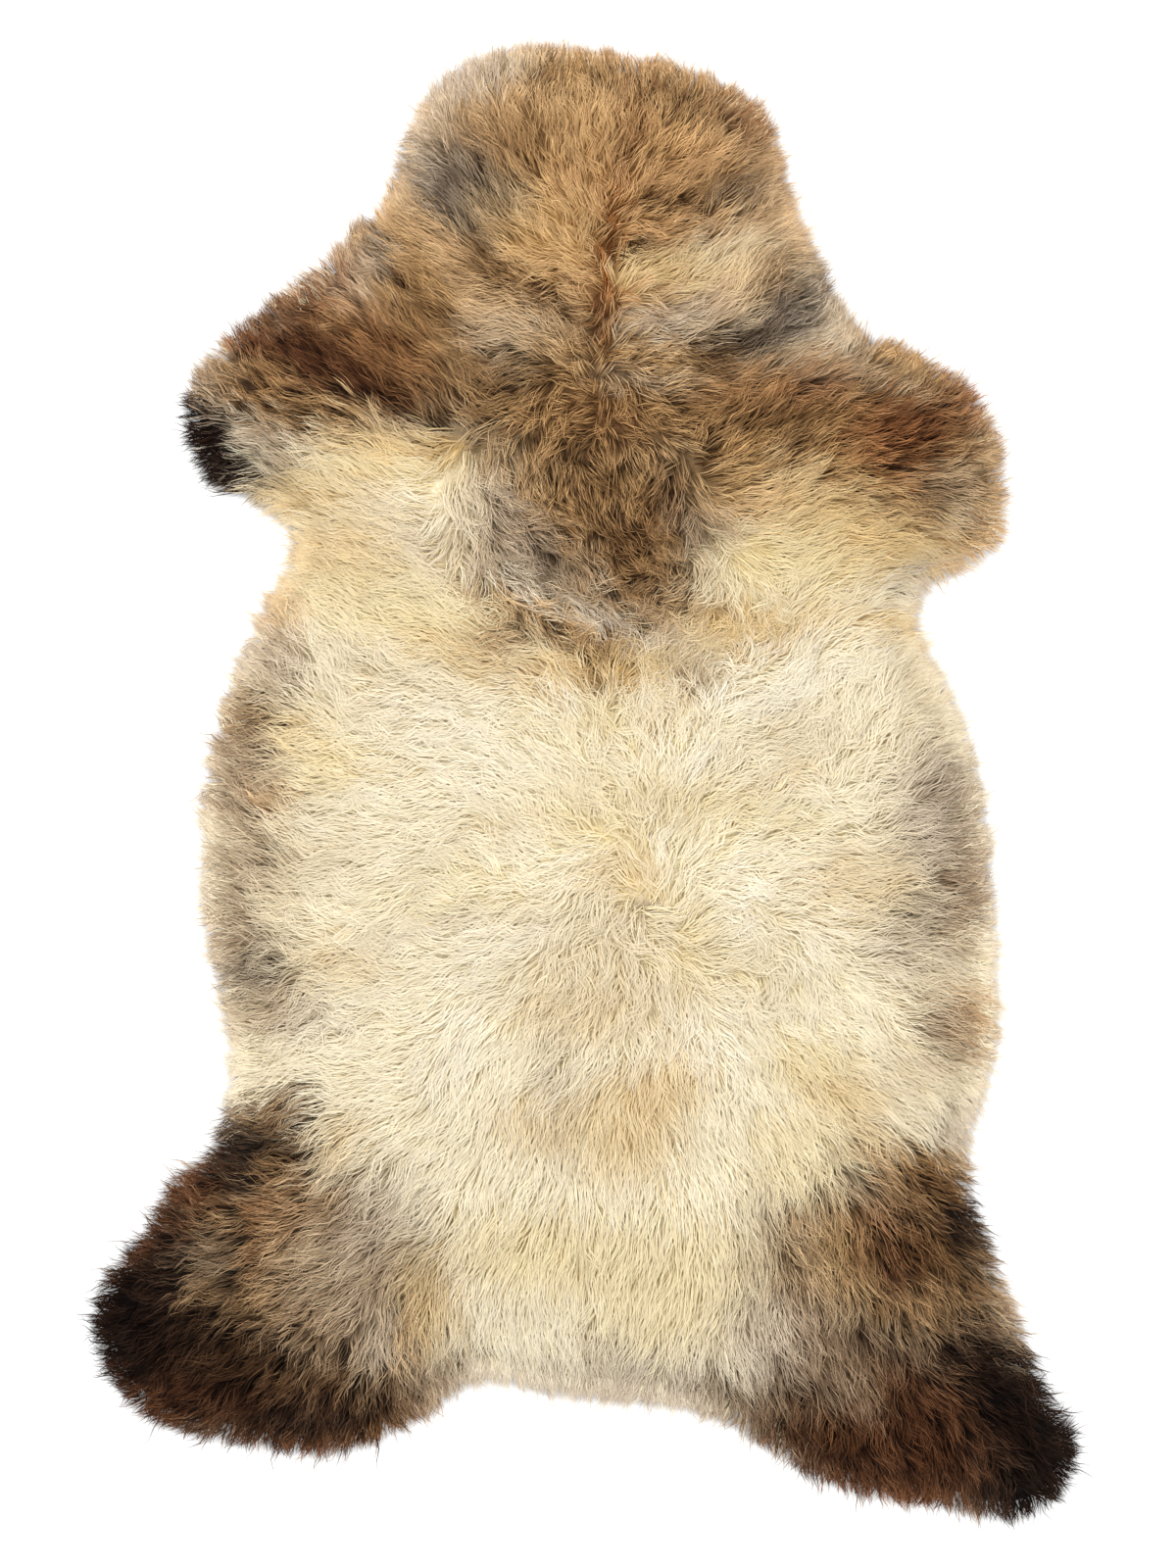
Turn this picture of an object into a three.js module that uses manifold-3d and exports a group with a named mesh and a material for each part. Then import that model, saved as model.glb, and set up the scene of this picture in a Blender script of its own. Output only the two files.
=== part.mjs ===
// A full-length sheepskin rug that lies flat on the floor, wool side up.
// It is one tanned skin: a flat underside, a lumpy fleece that rounds over towards its edge,
// and locks of longer wool all round the rim. The lowest locks lie level on the floor.
//
// Millimetres. X runs across the skin, +Y towards its neck and +Z up out of the floor.
// The origin is on the floor, under the middle of the skin.
import * as THREE from "three";
import { mergeVertices } from "three/addons/utils/BufferGeometryUtils.js";
import Module from "manifold-3d";

const wasm = await Module();
wasm.setup();

// Driving dimensions
const fleeceHeight = 38; // wool over the middle of the back
const edgeHeight = 15; // solid wool where it ends, behind the rim locks
const roundingRun = 52; // how far in from its edge the fleece reaches its full height
const rimReach = 20; // from the solid wool's edge to the tips of the rim locks
const tuftLayers = [
  { span: 92, swell: 5.5 }, // broad swells, from one to the next, and how far they rise and sink
  { span: 43, swell: 5 }, // single tufts
];
const reliefStep = 22; // spacing of the points that carry the fleece's relief
const reliefShift = 4; // how far each of those points strays from its row
const reliefMargin = 30; // how far the relief is worked out beyond the skin
const edgeTufts = 0.35; // how much of the tufts' rise is left at the edge
const outlineSteps = 216; // points round the fleece's solid edge

// The rug's outline at the tips of its wool, in order round the skin, as [x, y].
const outline = {
  neck: [[-68, 566], [22, 563], [82, 549], [122, 531], [143, 504], [152, 465], [165, 428], [184, 389]],
  rightForeleg: [[203, 356], [281, 318], [303, 293], [317, 257], [321, 210], [309, 176], [259, 152]],
  rightFlank: [[254, 120], [287, 53], [308, -38], [315, -158], [312, -214], [296, -263], [292, -293]],
  rightHindleg: [[317, -375], [351, -464], [377, -505], [362, -550], [325, -567], [270, -556], [212, -547]],
  rump: [[170, -532], [135, -509], [86, -484], [-30, -470], [-86, -459], [-120, -481]],
  leftHindleg: [[-170, -509], [-215, -515], [-345, -484], [-380, -424], [-369, -375], [-343, -351]],
  leftFlank: [[-321, -308], [-290, -284], [-276, -203], [-297, -90], [-290, 26], [-257, 120], [-225, 188]],
  leftForeleg: [[-251, 214], [-291, 233], [-308, 263], [-311, 296], [-293, 329], [-210, 398], [-149, 461]],
  nape: [[-140, 503], [-120, 533]],
};

// Places where the wool parts, or stands up in a ridge: a line from one point to another,
// how far the fleece sinks there (a ridge sinks by less than nothing), and how wide it is.
const creases = [
  { name: "neckParting", from: [24, 470], to: [4, 330], sinks: 6, width: 22 },
  { name: "spineParting", from: [4, 330], to: [14, 125], sinks: 7, width: 24 },
  { name: "leftShoulderFall", from: [-150, 185], to: [24, 118], sinks: -5, width: 26 },
  { name: "rightShoulderFall", from: [24, 118], to: [150, 78], sinks: -4, width: 26 },
  { name: "throatFoldLeft", from: [-95, 300], to: [-40, 345], sinks: 4, width: 24 },
  { name: "throatFoldRight", from: [28, 408], to: [70, 398], sinks: 4, width: 16 },
  { name: "loinWhorl", from: [30, -78], to: [44, -84], sinks: 6, width: 30 },
  { name: "leftStifleFold", from: [-146, -372], to: [-132, -445], sinks: 6, width: 22 },
  { name: "rightStifleFold", from: [250, -420], to: [300, -470], sinks: 5, width: 26 },
];

// Two layers of rim locks. The floor layer lies flat on the floor, and the upper layer
// leaves the rounded edge above it and bends down over it. rooted is each lock's length inside
// the fleece, and reach its length outside, as a share of rimReach.
const rimLayers = {
  floor: { count: 144, rooted: 13, rootHeight: 0, tipHeight: 0, width: 25, height: 13, reach: 1 },
  upper: { count: 112, rooted: 25, rootHeight: 20, tipHeight: 4, width: 23, height: 10, reach: 0.8 },
};
const lockTaper = [1, 1, 0.78]; // width along a lock, before its tip
const lockBend = 0.2; // how far a lock may curve sideways, as a share of its length
const lockStray = 0.3; // how far a lock may sit from its place in the row, as a share of the spacing
const reachStray = 0.22; // how much longer or shorter than its layer a lock may be, as a share
const sizeStray = 0.2; // how much thicker or thinner
const whorl = [34, -79]; // the place on the loin that the wool leans away from
const woolLean = 0.45; // how far a lock leans that way instead of straight out of the edge
const squarest = 0.6; // a lock that leaves the edge at a slant is lengthened, by no more than 1 over this
const slivers = 0.25; // faces thinner than this, left where locks cross, are tidied away

// A repeatable number from 0 to 1 for each whole number and each use.
function chance(index, use) {
  const wave = Math.sin(index * 12.9898 + use * 78.233) * 43758.5453;
  return wave - Math.floor(wave);
}

function either(index, use) {
  return 2 * chance(index, use) - 1;
}

// The smooth closed line through the outline's points.
const outlineCurve = new THREE.CatmullRomCurve3(
  Object.values(outline).flat().map(([x, y]) => new THREE.Vector3(x, y, 0)),
  true,
  "centripetal",
);

// A place on the outline and the level direction out of the skin there. share runs from 0 to 1.
function onOutline(share) {
  const at = share - Math.floor(share);
  const point = outlineCurve.getPointAt(at);
  const along = outlineCurve.getTangentAt(at);
  return { point, outward: new THREE.Vector3(-along.y, along.x, 0).normalize() };
}

// The edge of the solid wool: the outline moved in by the reach of the rim locks.
const solidEdge = Array.from({ length: outlineSteps }, (_, i) => {
  const { point, outward } = onOutline(i / outlineSteps);
  return point.addScaledVector(outward, -rimReach);
});

function distanceToLine(x, y, from, to) {
  const [dx, dy] = [to[0] - from[0], to[1] - from[1]];
  const along = ((x - from[0]) * dx + (y - from[1]) * dy) / (dx * dx + dy * dy);
  const share = THREE.MathUtils.clamp(along, 0, 1);
  return Math.hypot(x - from[0] - share * dx, y - from[1] - share * dy);
}

// How far a place lies inside the edge of the solid wool, or nothing outside it.
function depthInside(x, y) {
  let [nearest, inside] = [Infinity, false];
  solidEdge.forEach((a, i) => {
    const b = solidEdge[(i + 1) % solidEdge.length];
    nearest = Math.min(nearest, distanceToLine(x, y, [a.x, a.y], [b.x, b.y]));
    const level = a.y > y !== b.y > y;
    if (level && x < a.x + ((y - a.y) / (b.y - a.y)) * (b.x - a.x)) inside = !inside;
  });
  return inside ? nearest : 0;
}

// Smooth noise from -1 to 1: chance numbers on the corners of a lattice, eased between them.
// The two factors give every corner of the lattice a whole number of its own.
function swellAt(x, y, span) {
  const [column, row] = [Math.floor(x / span), Math.floor(y / span)];
  const ease = (share) => THREE.MathUtils.smoothstep(share, 0, 1);
  const [right, up] = [ease(x / span - column), ease(y / span - row)];
  const corner = (i, j) => either((column + i) * 37 + (row + j) * 101, span);
  const low = THREE.MathUtils.lerp(corner(0, 0), corner(1, 0), right);
  const high = THREE.MathUtils.lerp(corner(0, 1), corner(1, 1), right);
  return THREE.MathUtils.lerp(low, high, up);
}

// Tufts: broad swells of the fleece with smaller tufts on them.
function tufts(x, y) {
  return tuftLayers.reduce((height, { span, swell }) => height + swell * swellAt(x, y, span), 0);
}

// Height of the fleece: a quarter ellipse in from the edge, with tufts and creases on it.
function fleeceTop(x, y) {
  const run = Math.min(depthInside(x, y) / roundingRun, 1);
  const rounded = Math.sqrt(1 - (1 - run) ** 2);
  let height = edgeHeight + (fleeceHeight - edgeHeight) * rounded;
  height += tufts(x, y) * THREE.MathUtils.lerp(edgeTufts, 1, run);
  for (const { from, to, sinks, width } of creases) {
    const off = distanceToLine(x, y, from, to) / width;
    height -= sinks * Math.exp(-2 * off * off) * run;
  }
  return height;
}

// A closed solid from its points and its triangles.
function solidFrom(points, triangles) {
  const geometry = new THREE.BufferGeometry();
  geometry.setAttribute("position", new THREE.Float32BufferAttribute(points.flat(), 3));
  geometry.setIndex(triangles.flat());
  return manifoldOf(geometry);
}

function manifoldOf(geometry) {
  geometry.deleteAttribute("normal");
  geometry.deleteAttribute("uv");
  const merged = mergeVertices(geometry);
  return new wasm.Manifold(
    new wasm.Mesh({
      numProp: 3,
      vertProperties: merged.attributes.position.array,
      triVerts: new Uint32Array(merged.index.array),
    }),
  );
}

// A block under the whole skin whose top carries the fleece's relief.
function reliefBlock() {
  const box = new THREE.Box3().setFromPoints(solidEdge).expandByScalar(reliefMargin);
  const columns = Math.ceil((box.max.x - box.min.x) / reliefStep);
  const rows = Math.ceil((box.max.y - box.min.y) / reliefStep);
  const number = (column, row) => row * (columns + 1) + column;
  const points = [];
  for (let row = 0; row <= rows; row += 1) {
    for (let column = 0; column <= columns; column += 1) {
      const border = row === 0 || row === rows || column === 0 || column === columns;
      const stray = border ? 0 : reliefShift;
      const x = box.min.x + column * reliefStep + stray * either(points.length, 1);
      const y = box.min.y + row * reliefStep + stray * either(points.length, 2);
      points.push([x, y, fleeceTop(x, y)]);
    }
  }
  const triangles = [];
  for (let row = 0; row < rows; row += 1) {
    for (let column = 0; column < columns; column += 1) {
      const [a, b] = [number(column, row), number(column + 1, row)];
      const [c, d] = [number(column + 1, row + 1), number(column, row + 1)];
      if ((row + column) % 2) triangles.push([a, b, c], [a, c, d]);
      else triangles.push([a, b, d], [b, c, d]);
    }
  }
  const corners = [[0, 0], [columns, 0], [columns, rows], [0, rows]];
  const feet = corners.map(([column, row]) => {
    const [x, y] = points[number(column, row)];
    return points.push([x, y, 0]) - 1;
  });
  triangles.push([feet[0], feet[2], feet[1]], [feet[0], feet[3], feet[2]]);
  corners.forEach(([column, row], side) => {
    const [nextColumn, nextRow] = corners[(side + 1) % 4];
    const [stepX, stepY] = [Math.sign(nextColumn - column), Math.sign(nextRow - row)];
    const steps = Math.abs(nextColumn - column) + Math.abs(nextRow - row);
    for (let i = 0; i < steps; i += 1) {
      const near = number(column + i * stepX, row + i * stepY);
      const far = number(column + (i + 1) * stepX, row + (i + 1) * stepY);
      triangles.push([feet[side], far, near]);
    }
    triangles.push([feet[side], feet[(side + 1) % 4], number(nextColumn, nextRow)]);
  });
  return solidFrom(points, triangles);
}

// The fleece on its skin: the relief block, cut to the edge of the solid wool.
function fleeceBody() {
  const shape = new THREE.Shape(solidEdge.map(({ x, y }) => new THREE.Vector2(x, y)));
  const cutter = new THREE.ExtrudeGeometry(shape, { depth: 3 * fleeceHeight, bevelEnabled: false });
  cutter.translate(0, 0, -fleeceHeight);
  return reliefBlock().intersect(manifoldOf(cutter));
}

// A lock: a pointed, curved wedge of three sides, or of four where it doesn't lie on the floor.
// rings holds its centre line, with the width and height of the wool at each step.
function lockSolid(rings, tip, across, onFloor) {
  const sides = onFloor ? 3 : 4;
  const points = [];
  for (const { centre, width, height } of rings) {
    const [left, right] = [-width / 2, width / 2];
    const section = onFloor
      ? [[left, 0], [right, 0], [0, height]]
      : [[left, 0], [0, -height / 2], [right, 0], [0, height / 2]];
    for (const [aside, up] of section) {
      points.push([centre.x + across.x * aside, centre.y + across.y * aside, centre.z + up]);
    }
  }
  const end = points.push([tip.x, tip.y, tip.z]) - 1;
  const triangles = onFloor ? [[0, 1, 2]] : [[0, 1, 2], [0, 2, 3]];
  for (let side = 0; side < sides; side += 1) {
    const next = (side + 1) % sides;
    for (let ring = 0; ring < rings.length - 1; ring += 1) {
      const [low, high] = [ring * sides, (ring + 1) * sides];
      triangles.push([low + side, high + side, low + next], [low + next, high + side, high + next]);
    }
    const last = (rings.length - 1) * sides;
    triangles.push([last + side, end, last + next]);
  }
  const made = solidFrom(points, triangles);
  return made.volume() > 0 ? made : solidFrom(points, triangles.map(([a, b, c]) => [a, c, b]));
}

// One lock of a rim layer, rooted inside the fleece and leaning the way the wool lies.
function rimLock(layer, index) {
  const { point, outward } = onOutline((index + lockStray * either(index, 3)) / layer.count);
  const away = new THREE.Vector3(point.x - whorl[0], point.y - whorl[1], 0).normalize();
  const leaving = outward.clone().lerp(away, woolLean).normalize();
  const across = new THREE.Vector3(-leaving.y, leaving.x, 0);
  const root = point.clone().addScaledVector(outward, -rimReach).addScaledVector(leaving, -layer.rooted);
  const reach = rimReach * layer.reach * (1 + reachStray * either(index, 4));
  const length = layer.rooted + reach / Math.max(leaving.dot(outward), squarest);
  const bend = length * lockBend * either(index, 5);
  const size = 1 + sizeStray * either(index, 6);
  const onFloor = layer.rootHeight === 0;
  const place = (along) => {
    const centre = root.clone().addScaledVector(leaving, along * length);
    centre.addScaledVector(across, bend * along * along);
    centre.z = THREE.MathUtils.lerp(layer.rootHeight, layer.tipHeight, along * along);
    return centre;
  };
  const rings = lockTaper.map((taper, step) => ({
    centre: place(step / lockTaper.length),
    width: layer.width * size * taper,
    height: layer.height * size * taper,
  }));
  return lockSolid(rings, place(1), across, onFloor);
}

function rug() {
  let solid = fleeceBody();
  for (const layer of Object.values(rimLayers)) {
    for (let index = 0; index < layer.count; index += 1) {
      solid = solid.add(rimLock(layer, index));
    }
  }
  return solid.simplify(slivers);
}

function geometryOf(solid) {
  const mesh = solid.getMesh();
  const geometry = new THREE.BufferGeometry();
  geometry.setAttribute("position", new THREE.BufferAttribute(mesh.vertProperties, 3));
  geometry.setIndex(new THREE.BufferAttribute(mesh.triVerts, 1));
  geometry.computeVertexNormals();
  return geometry;
}

const wool = new THREE.MeshStandardMaterial({ color: 0xd9c49a, roughness: 0.95, metalness: 0 });
const sheepskin = new THREE.Mesh(geometryOf(rug()), wool);
sheepskin.name = "sheepskin";

// The locks don't reach exactly as far on every side, so the skin is centred over the origin.
sheepskin.geometry.computeBoundingBox();
const middle = sheepskin.geometry.boundingBox.getCenter(new THREE.Vector3());
sheepskin.position.set(-middle.x, -middle.y, 0);

const part = new THREE.Group();
part.add(sheepskin);
export default part;
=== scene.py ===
import math

import bpy
import numpy as np
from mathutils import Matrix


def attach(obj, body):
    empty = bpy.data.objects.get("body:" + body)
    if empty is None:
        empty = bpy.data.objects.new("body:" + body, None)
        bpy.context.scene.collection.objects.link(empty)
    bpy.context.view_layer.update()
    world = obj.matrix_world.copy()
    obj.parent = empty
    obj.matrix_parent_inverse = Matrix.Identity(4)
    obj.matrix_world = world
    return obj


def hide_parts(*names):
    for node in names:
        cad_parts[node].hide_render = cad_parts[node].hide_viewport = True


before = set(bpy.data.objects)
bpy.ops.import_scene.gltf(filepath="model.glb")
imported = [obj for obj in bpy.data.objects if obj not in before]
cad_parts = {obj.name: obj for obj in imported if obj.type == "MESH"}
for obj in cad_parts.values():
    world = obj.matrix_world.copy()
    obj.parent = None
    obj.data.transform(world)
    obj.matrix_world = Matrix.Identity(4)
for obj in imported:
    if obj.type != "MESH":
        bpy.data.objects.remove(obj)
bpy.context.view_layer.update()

# A full-length sheepskin that lies flat on the floor, wool side up, seen from straight above.
# Metres: X runs across the skin, +Y towards its neck, +Z up out of the floor.
# The skin is drawn round its own middle first, and each mesh is moved to the frame's at the end.

skin = {
    "seed": 23,
    "shift": (-0.0013, -0.0028),  # from the middle that the outline is drawn round to the frame's
    "fleeceHeight": 0.038,  # wool over the middle of the back
    "edgeHeight": 0.015,  # wool where the rim starts
    "tipHeight": 0.0035,  # wool at the outline
    "roundingRun": 0.052,  # how far in from the rim the fleece reaches its full height
    "rimReach": 0.020,  # the rim's width
    "swells": [(0.092, 0.0055), (0.043, 0.005)],  # spacing and rise of the tufts
    "edgeSwell": 0.35,  # how much of the tufts' rise is left at the rim
    "fieldStep": 0.004,  # spacing of the points where depth, height and combing are worked out
    "fieldMargin": 0.06,  # and how far they reach past the outline
    "curveSteps": 8,  # stretches of the curve between two points of the outline
}
tiny = 1e-6  # added to a length that something is divided by

# The outline at the tips of the wool, in order round the skin, as (x, y).
skinOutline = {
    "neck": [(-.068, .566), (.022, .563), (.082, .549), (.122, .531), (.143, .504), (.152, .465),
             (.165, .428), (.184, .389)],
    "rightForeleg": [(.203, .356), (.281, .318), (.303, .293), (.317, .257), (.321, .210),
                     (.309, .176), (.259, .152)],
    "rightFlank": [(.254, .120), (.287, .053), (.308, -.038), (.315, -.158), (.312, -.214),
                   (.296, -.263), (.292, -.293)],
    "rightHindleg": [(.317, -.375), (.351, -.464), (.377, -.505), (.362, -.550), (.325, -.567),
                     (.270, -.556), (.212, -.547)],
    "rump": [(.170, -.532), (.135, -.509), (.086, -.484), (-.030, -.470), (-.086, -.459),
             (-.120, -.481)],
    "leftHindleg": [(-.170, -.509), (-.215, -.515), (-.345, -.484), (-.380, -.424), (-.369, -.375),
                    (-.343, -.351)],
    "leftFlank": [(-.321, -.308), (-.290, -.284), (-.276, -.203), (-.297, -.090), (-.290, .026),
                  (-.257, .120), (-.225, .188)],
    "leftForeleg": [(-.251, .214), (-.291, .233), (-.308, .263), (-.311, .296), (-.293, .329),
                    (-.210, .398), (-.149, .461)],
    "nape": [(-.140, .503), (-.120, .533)],
}

# Places where the wool parts or stands up in a ridge: from, to, how far it sinks, and its width.
creases = {
    "neckParting": ((.024, .470), (.004, .330), .006, .022),
    "spineParting": ((.004, .330), (.014, .125), .007, .024),
    "leftShoulderFall": ((-.150, .185), (.024, .118), -.005, .026),
    "rightShoulderFall": ((.024, .118), (.150, .078), -.004, .026),
    "throatFoldLeft": ((-.095, .300), (-.040, .345), .004, .024),
    "throatFoldRight": ((.028, .408), (.070, .398), .004, .016),
    "loinWhorl": ((.030, -.078), (.044, -.084), .006, .030),
    "leftStifleFold": ((-.146, -.372), (-.132, -.445), .006, .022),
    "rightStifleFold": ((.250, -.420), (.300, -.470), .005, .026),
}


# The closed line through points, with knots a square root of their gaps apart. Between p1 and p2
# it is p1 + a t + (3 (p2 - p1) - 2 a - b) t^2 + (2 (p1 - p2) + a + b) t^3, a and b its end slopes.
def smoothLine(points, steps):
    p = np.array(points)
    p0, p1, p2, p3 = np.roll(p, 1, 0), p, np.roll(p, -1, 0), np.roll(p, -2, 0)
    gap0, gap1, gap2 = (np.sqrt(np.linalg.norm(q - r, axis=1))[:, None]
                        for q, r in ((p1, p0), (p2, p1), (p3, p2)))
    a = ((p1 - p0) / gap0 - (p2 - p0) / (gap0 + gap1) + (p2 - p1) / gap1) * gap1
    b = ((p2 - p1) / gap1 - (p3 - p1) / (gap1 + gap2) + (p3 - p2) / gap2) * gap1
    t = (np.arange(steps) / steps)[None, :, None]
    p1, p2, a, b = (v[:, None, :] for v in (p1, p2, a, b))
    line = p1 + a * t + (3 * (p2 - p1) - 2 * a - b) * t**2 + (2 * (p1 - p2) + a + b) * t**3
    return line.reshape(-1, 2)


# Repeatable numbers from -1 to 1: twice the fraction of 43758.5453 sin(12.9898 i + 78.233 u), less 1.
def either(index, use):
    wave = np.sin(index * 12.9898 + use * 78.233) * 43758.5453
    return 2 * (wave - np.floor(wave)) - 1


# Soft noise from -1 to 1: either() on the corners of a lattice, eased by 3 s^2 - 2 s^3 between them.
def softNoise(x, y, span, use):
    column, row = np.floor(x / span), np.floor(y / span)
    right, up = x / span - column, y / span - row
    right, up = right * right * (3 - 2 * right), up * up * (3 - 2 * up)
    corner = [[either((column + i) * 37 + (row + j) * 101, use) for i in (0, 1)] for j in (0, 1)]
    low = corner[0][0] + (corner[0][1] - corner[0][0]) * right
    high = corner[1][0] + (corner[1][1] - corner[1][0]) * right
    return low + (high - low) * up


# How far (x, y) lies off the line from a to b, in x and in y: its place less the nearest point's,
# which is a + s (b - a) with s kept from 0 to 1.
def lineOffset(x, y, a, b):
    dx, dy = b[0] - a[0], b[1] - a[1]
    s = np.clip(((x - a[0]) * dx + (y - a[1]) * dy) / (dx * dx + dy * dy), 0, 1)
    return x - a[0] - s * dx, y - a[1] - s * dy


# The direction of (x, y): each over the root of their squares' sum.
def unit(x, y):
    size = np.hypot(x, y) + tiny
    return x / size, y / size


# Depth inside a closed line: the nearest edge's distance, less than nothing outside.
# A place is inside where a ray to its right crosses the line an odd number of times.
def depthInside(x, y, line):
    nearest = np.full(x.shape, np.inf)
    inside = np.zeros(x.shape, dtype=bool)
    for a, b in zip(line, np.roll(line, -1, 0)):
        nearest = np.minimum(nearest, np.hypot(*lineOffset(x, y, a, b)))
        if a[1] != b[1]:
            crossing = a[0] + (y - a[1]) / (b[1] - a[1]) * (b[0] - a[0])
            inside ^= ((a[1] > y) != (b[1] > y)) & (x < crossing)
    return np.where(inside, nearest, -nearest)


# Height of the fleece: a quarter ellipse in from the rim, with the tufts' noise added and each
# crease's sinks e^(-2 (distance / width)^2) taken off. Over the rim it falls from there to tipHeight
# as the square root of the depth.
def fleeceHeight(x, y, depth):
    run = np.clip((depth - skin["rimReach"]) / skin["roundingRun"], 0, 1)
    height = (skin["edgeHeight"]
              + (skin["fleeceHeight"] - skin["edgeHeight"]) * np.sqrt(1 - (1 - run)**2))
    tufts = sum(rise * softNoise(x, y, span, round(span * 1000)) for span, rise in skin["swells"])
    height = height + tufts * (skin["edgeSwell"] + (1 - skin["edgeSwell"]) * run)
    for a, b, sinks, width in creases.values():
        far = np.hypot(*lineOffset(x, y, a, b))
        height = height - sinks * np.exp(-2 * (far / width)**2) * run
    out = np.sqrt(np.clip(depth / skin["rimReach"], 0, 1))
    rim = skin["tipHeight"] + (height - skin["tipHeight"]) * out
    return np.where(depth > skin["rimReach"], height, rim)


# Which way the wool is combed. It leans away from the whorl on the loin, away to both sides of each
# parting within its reach, and near each of the rows below as the row says.
combing = {
    "whorl": (.040, -.095),
    "awayFromWhorl": 0.35,
    "swirl": 62,  # degrees that the wool is turned at the whorl's middle
    "swirlReach": 0.055,
    "outAtRim": 0.9,  # how far the wool turns straight out over the rim
    "rimFade": 0.026,  # how far in from the tips that is felt
    "partingCore": 0.008,  # nearer than this to a parting its pull grows less
    # name: (from, to, reach, weight)
    "partings": {
        "neck": ((.018, .400), (.008, .275), .026, .8),
        "spine": ((.014, .060), (.034, -.070), .024, .3),
    },
}

# A row is (x, y, direction in degrees, reach, weight): 0 is to the right and 90 towards the neck.
combedRows = {
    "neck": [
        (.015, .520, 90, .050, 1.0), (-.075, .525, 112, .050, 1.0), (-.105, .470, 138, .050, 1.2),
        (-.120, .420, 150, .040, 1.0), (-.055, .430, 150, .045, 1.0), (-.050, .370, 152, .040, 1.0),
        (-.100, .380, 135, .035, .9), (.075, .515, 62, .050, 1.0), (.115, .490, 40, .045, 1.0),
        (.090, .445, 19, .040, 1.1), (.135, .420, 16, .040, 1.0), (.070, .390, 6, .040, 1.1),
        (.135, .345, 28, .045, 1.3), (-.030, .475, 112, .040, .8), (.050, .480, 60, .040, .8),
        (.055, .345, -6, .030, 1.0), (-.040, .340, 178, .030, .9), (.060, .305, -20, .030, 1.0),
        (-.050, .300, 205, .030, 1.0),
    ],
    "leftForeleg": [
        (-.135, .345, 124, .050, 1.3), (-.190, .345, 140, .050, 1.3), (-.245, .320, 152, .050, 1.3),
        (-.280, .260, 192, .035, 1.3), (-.185, .240, 176, .050, 1.3), (-.200, .290, 160, .045, 1.0),
        (-.130, .270, 150, .045, .8), (-.230, .215, 196, .035, 1.0),
    ],
    "shoulders": [
        (-.060, .225, -62, .050, 1.3), (-.015, .180, -55, .045, 1.3), (.015, .235, -90, .045, 1.2),
        (.060, .190, -105, .050, 1.3), (.095, .150, -118, .040, 1.1), (.025, .130, -40, .030, 1.0),
        (-.140, .215, 150, .034, 1.2), (-.086, .232, -70, .030, 1.0), (-.085, .188, -40, .032, 1.3),
        (-.040, .160, -34, .030, 1.3), (.000, .138, -28, .028, 1.1), (-.080, .100, 196, .045, .8),
        (.050, .095, -10, .040, .8), (-.185, .165, 165, .040, .9), (-.120, .130, 176, .040, .9),
    ],
    "rightForeleg": [
        (.150, .305, 30, .045, 1.2), (.205, .295, 14, .050, 1.3), (.260, .265, 2, .045, 1.3),
        (.290, .215, -14, .040, 1.3), (.205, .215, 2, .050, 1.3), (.250, .175, -22, .035, 1.0),
        (.150, .165, 8, .045, 1.2), (.125, .215, 16, .040, 1.0), (.190, .135, 14, .040, .8),
    ],
    "back": [
        (-.100, .050, 172, .055, 1.0), (-.100, .000, 180, .050, 1.0), (-.110, -.050, 182, .050, 1.0),
        (-.160, -.010, 176, .050, 1.0), (-.110, -.110, 190, .050, .8), (.100, .050, 42, .050, .9),
        (.120, .000, 30, .050, 1.0), (.130, -.060, 12, .050, .9), (.060, .060, 95, .035, .7),
        (-.040, .050, 140, .040, .6), (.010, .000, 160, .040, .5), (.130, -.130, -30, .050, .8),
        (-.040, -.180, 238, .050, .9), (.050, -.190, -86, .050, .9), (.120, -.220, -58, .060, .9),
    ],
    "flanks": [
        (-.195, .120, 152, .060, .9), (-.220, .040, 158, .050, .9), (-.240, -.038, 130, .034, 1.2),
        (-.215, -.110, 152, .042, 1.1), (-.205, -.175, 192, .055, .9), (-.200, -.230, 200, .050, .8),
        (.200, .060, 40, .060, .9), (.235, -.030, 24, .060, .9), (.240, -.110, -2, .060, .9),
        (.240, -.190, -36, .060, .9),
    ],
    "rump": [
        (.030, -.330, -90, .080, 1.0), (.120, -.360, -80, .070, .9), (-.080, -.360, -98, .070, .9),
        (-.130, -.410, 262, .030, 1.2), (-.150, -.300, 228, .060, .8),
    ],
    "leftHindleg": [
        (-.245, -.285, 168, .045, 1.3), (-.300, -.320, 160, .045, 1.3), (-.330, -.370, 178, .045, 1.3),
        (-.240, -.360, 184, .050, 1.2), (-.350, -.425, 200, .045, 1.3), (-.285, -.420, 206, .050, 1.2),
        (-.200, -.400, 216, .045, 1.1), (-.250, -.472, 238, .045, 1.3), (-.175, -.465, 250, .040, 1.2),
        (-.122, -.420, 282, .030, 1.2), (-.180, -.330, 205, .045, .9),
    ],
    "rightHindleg": [
        (.255, -.300, -45, .050, 1.2), (.210, -.380, -66, .060, 1.2), (.290, -.390, -40, .040, 1.2),
        (.200, -.480, -80, .060, 1.3), (.285, -.500, -72, .050, 1.2), (.345, -.510, -48, .040, 1.4),
        (.295, -.440, -62, .035, .9),
    ],
}


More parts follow.
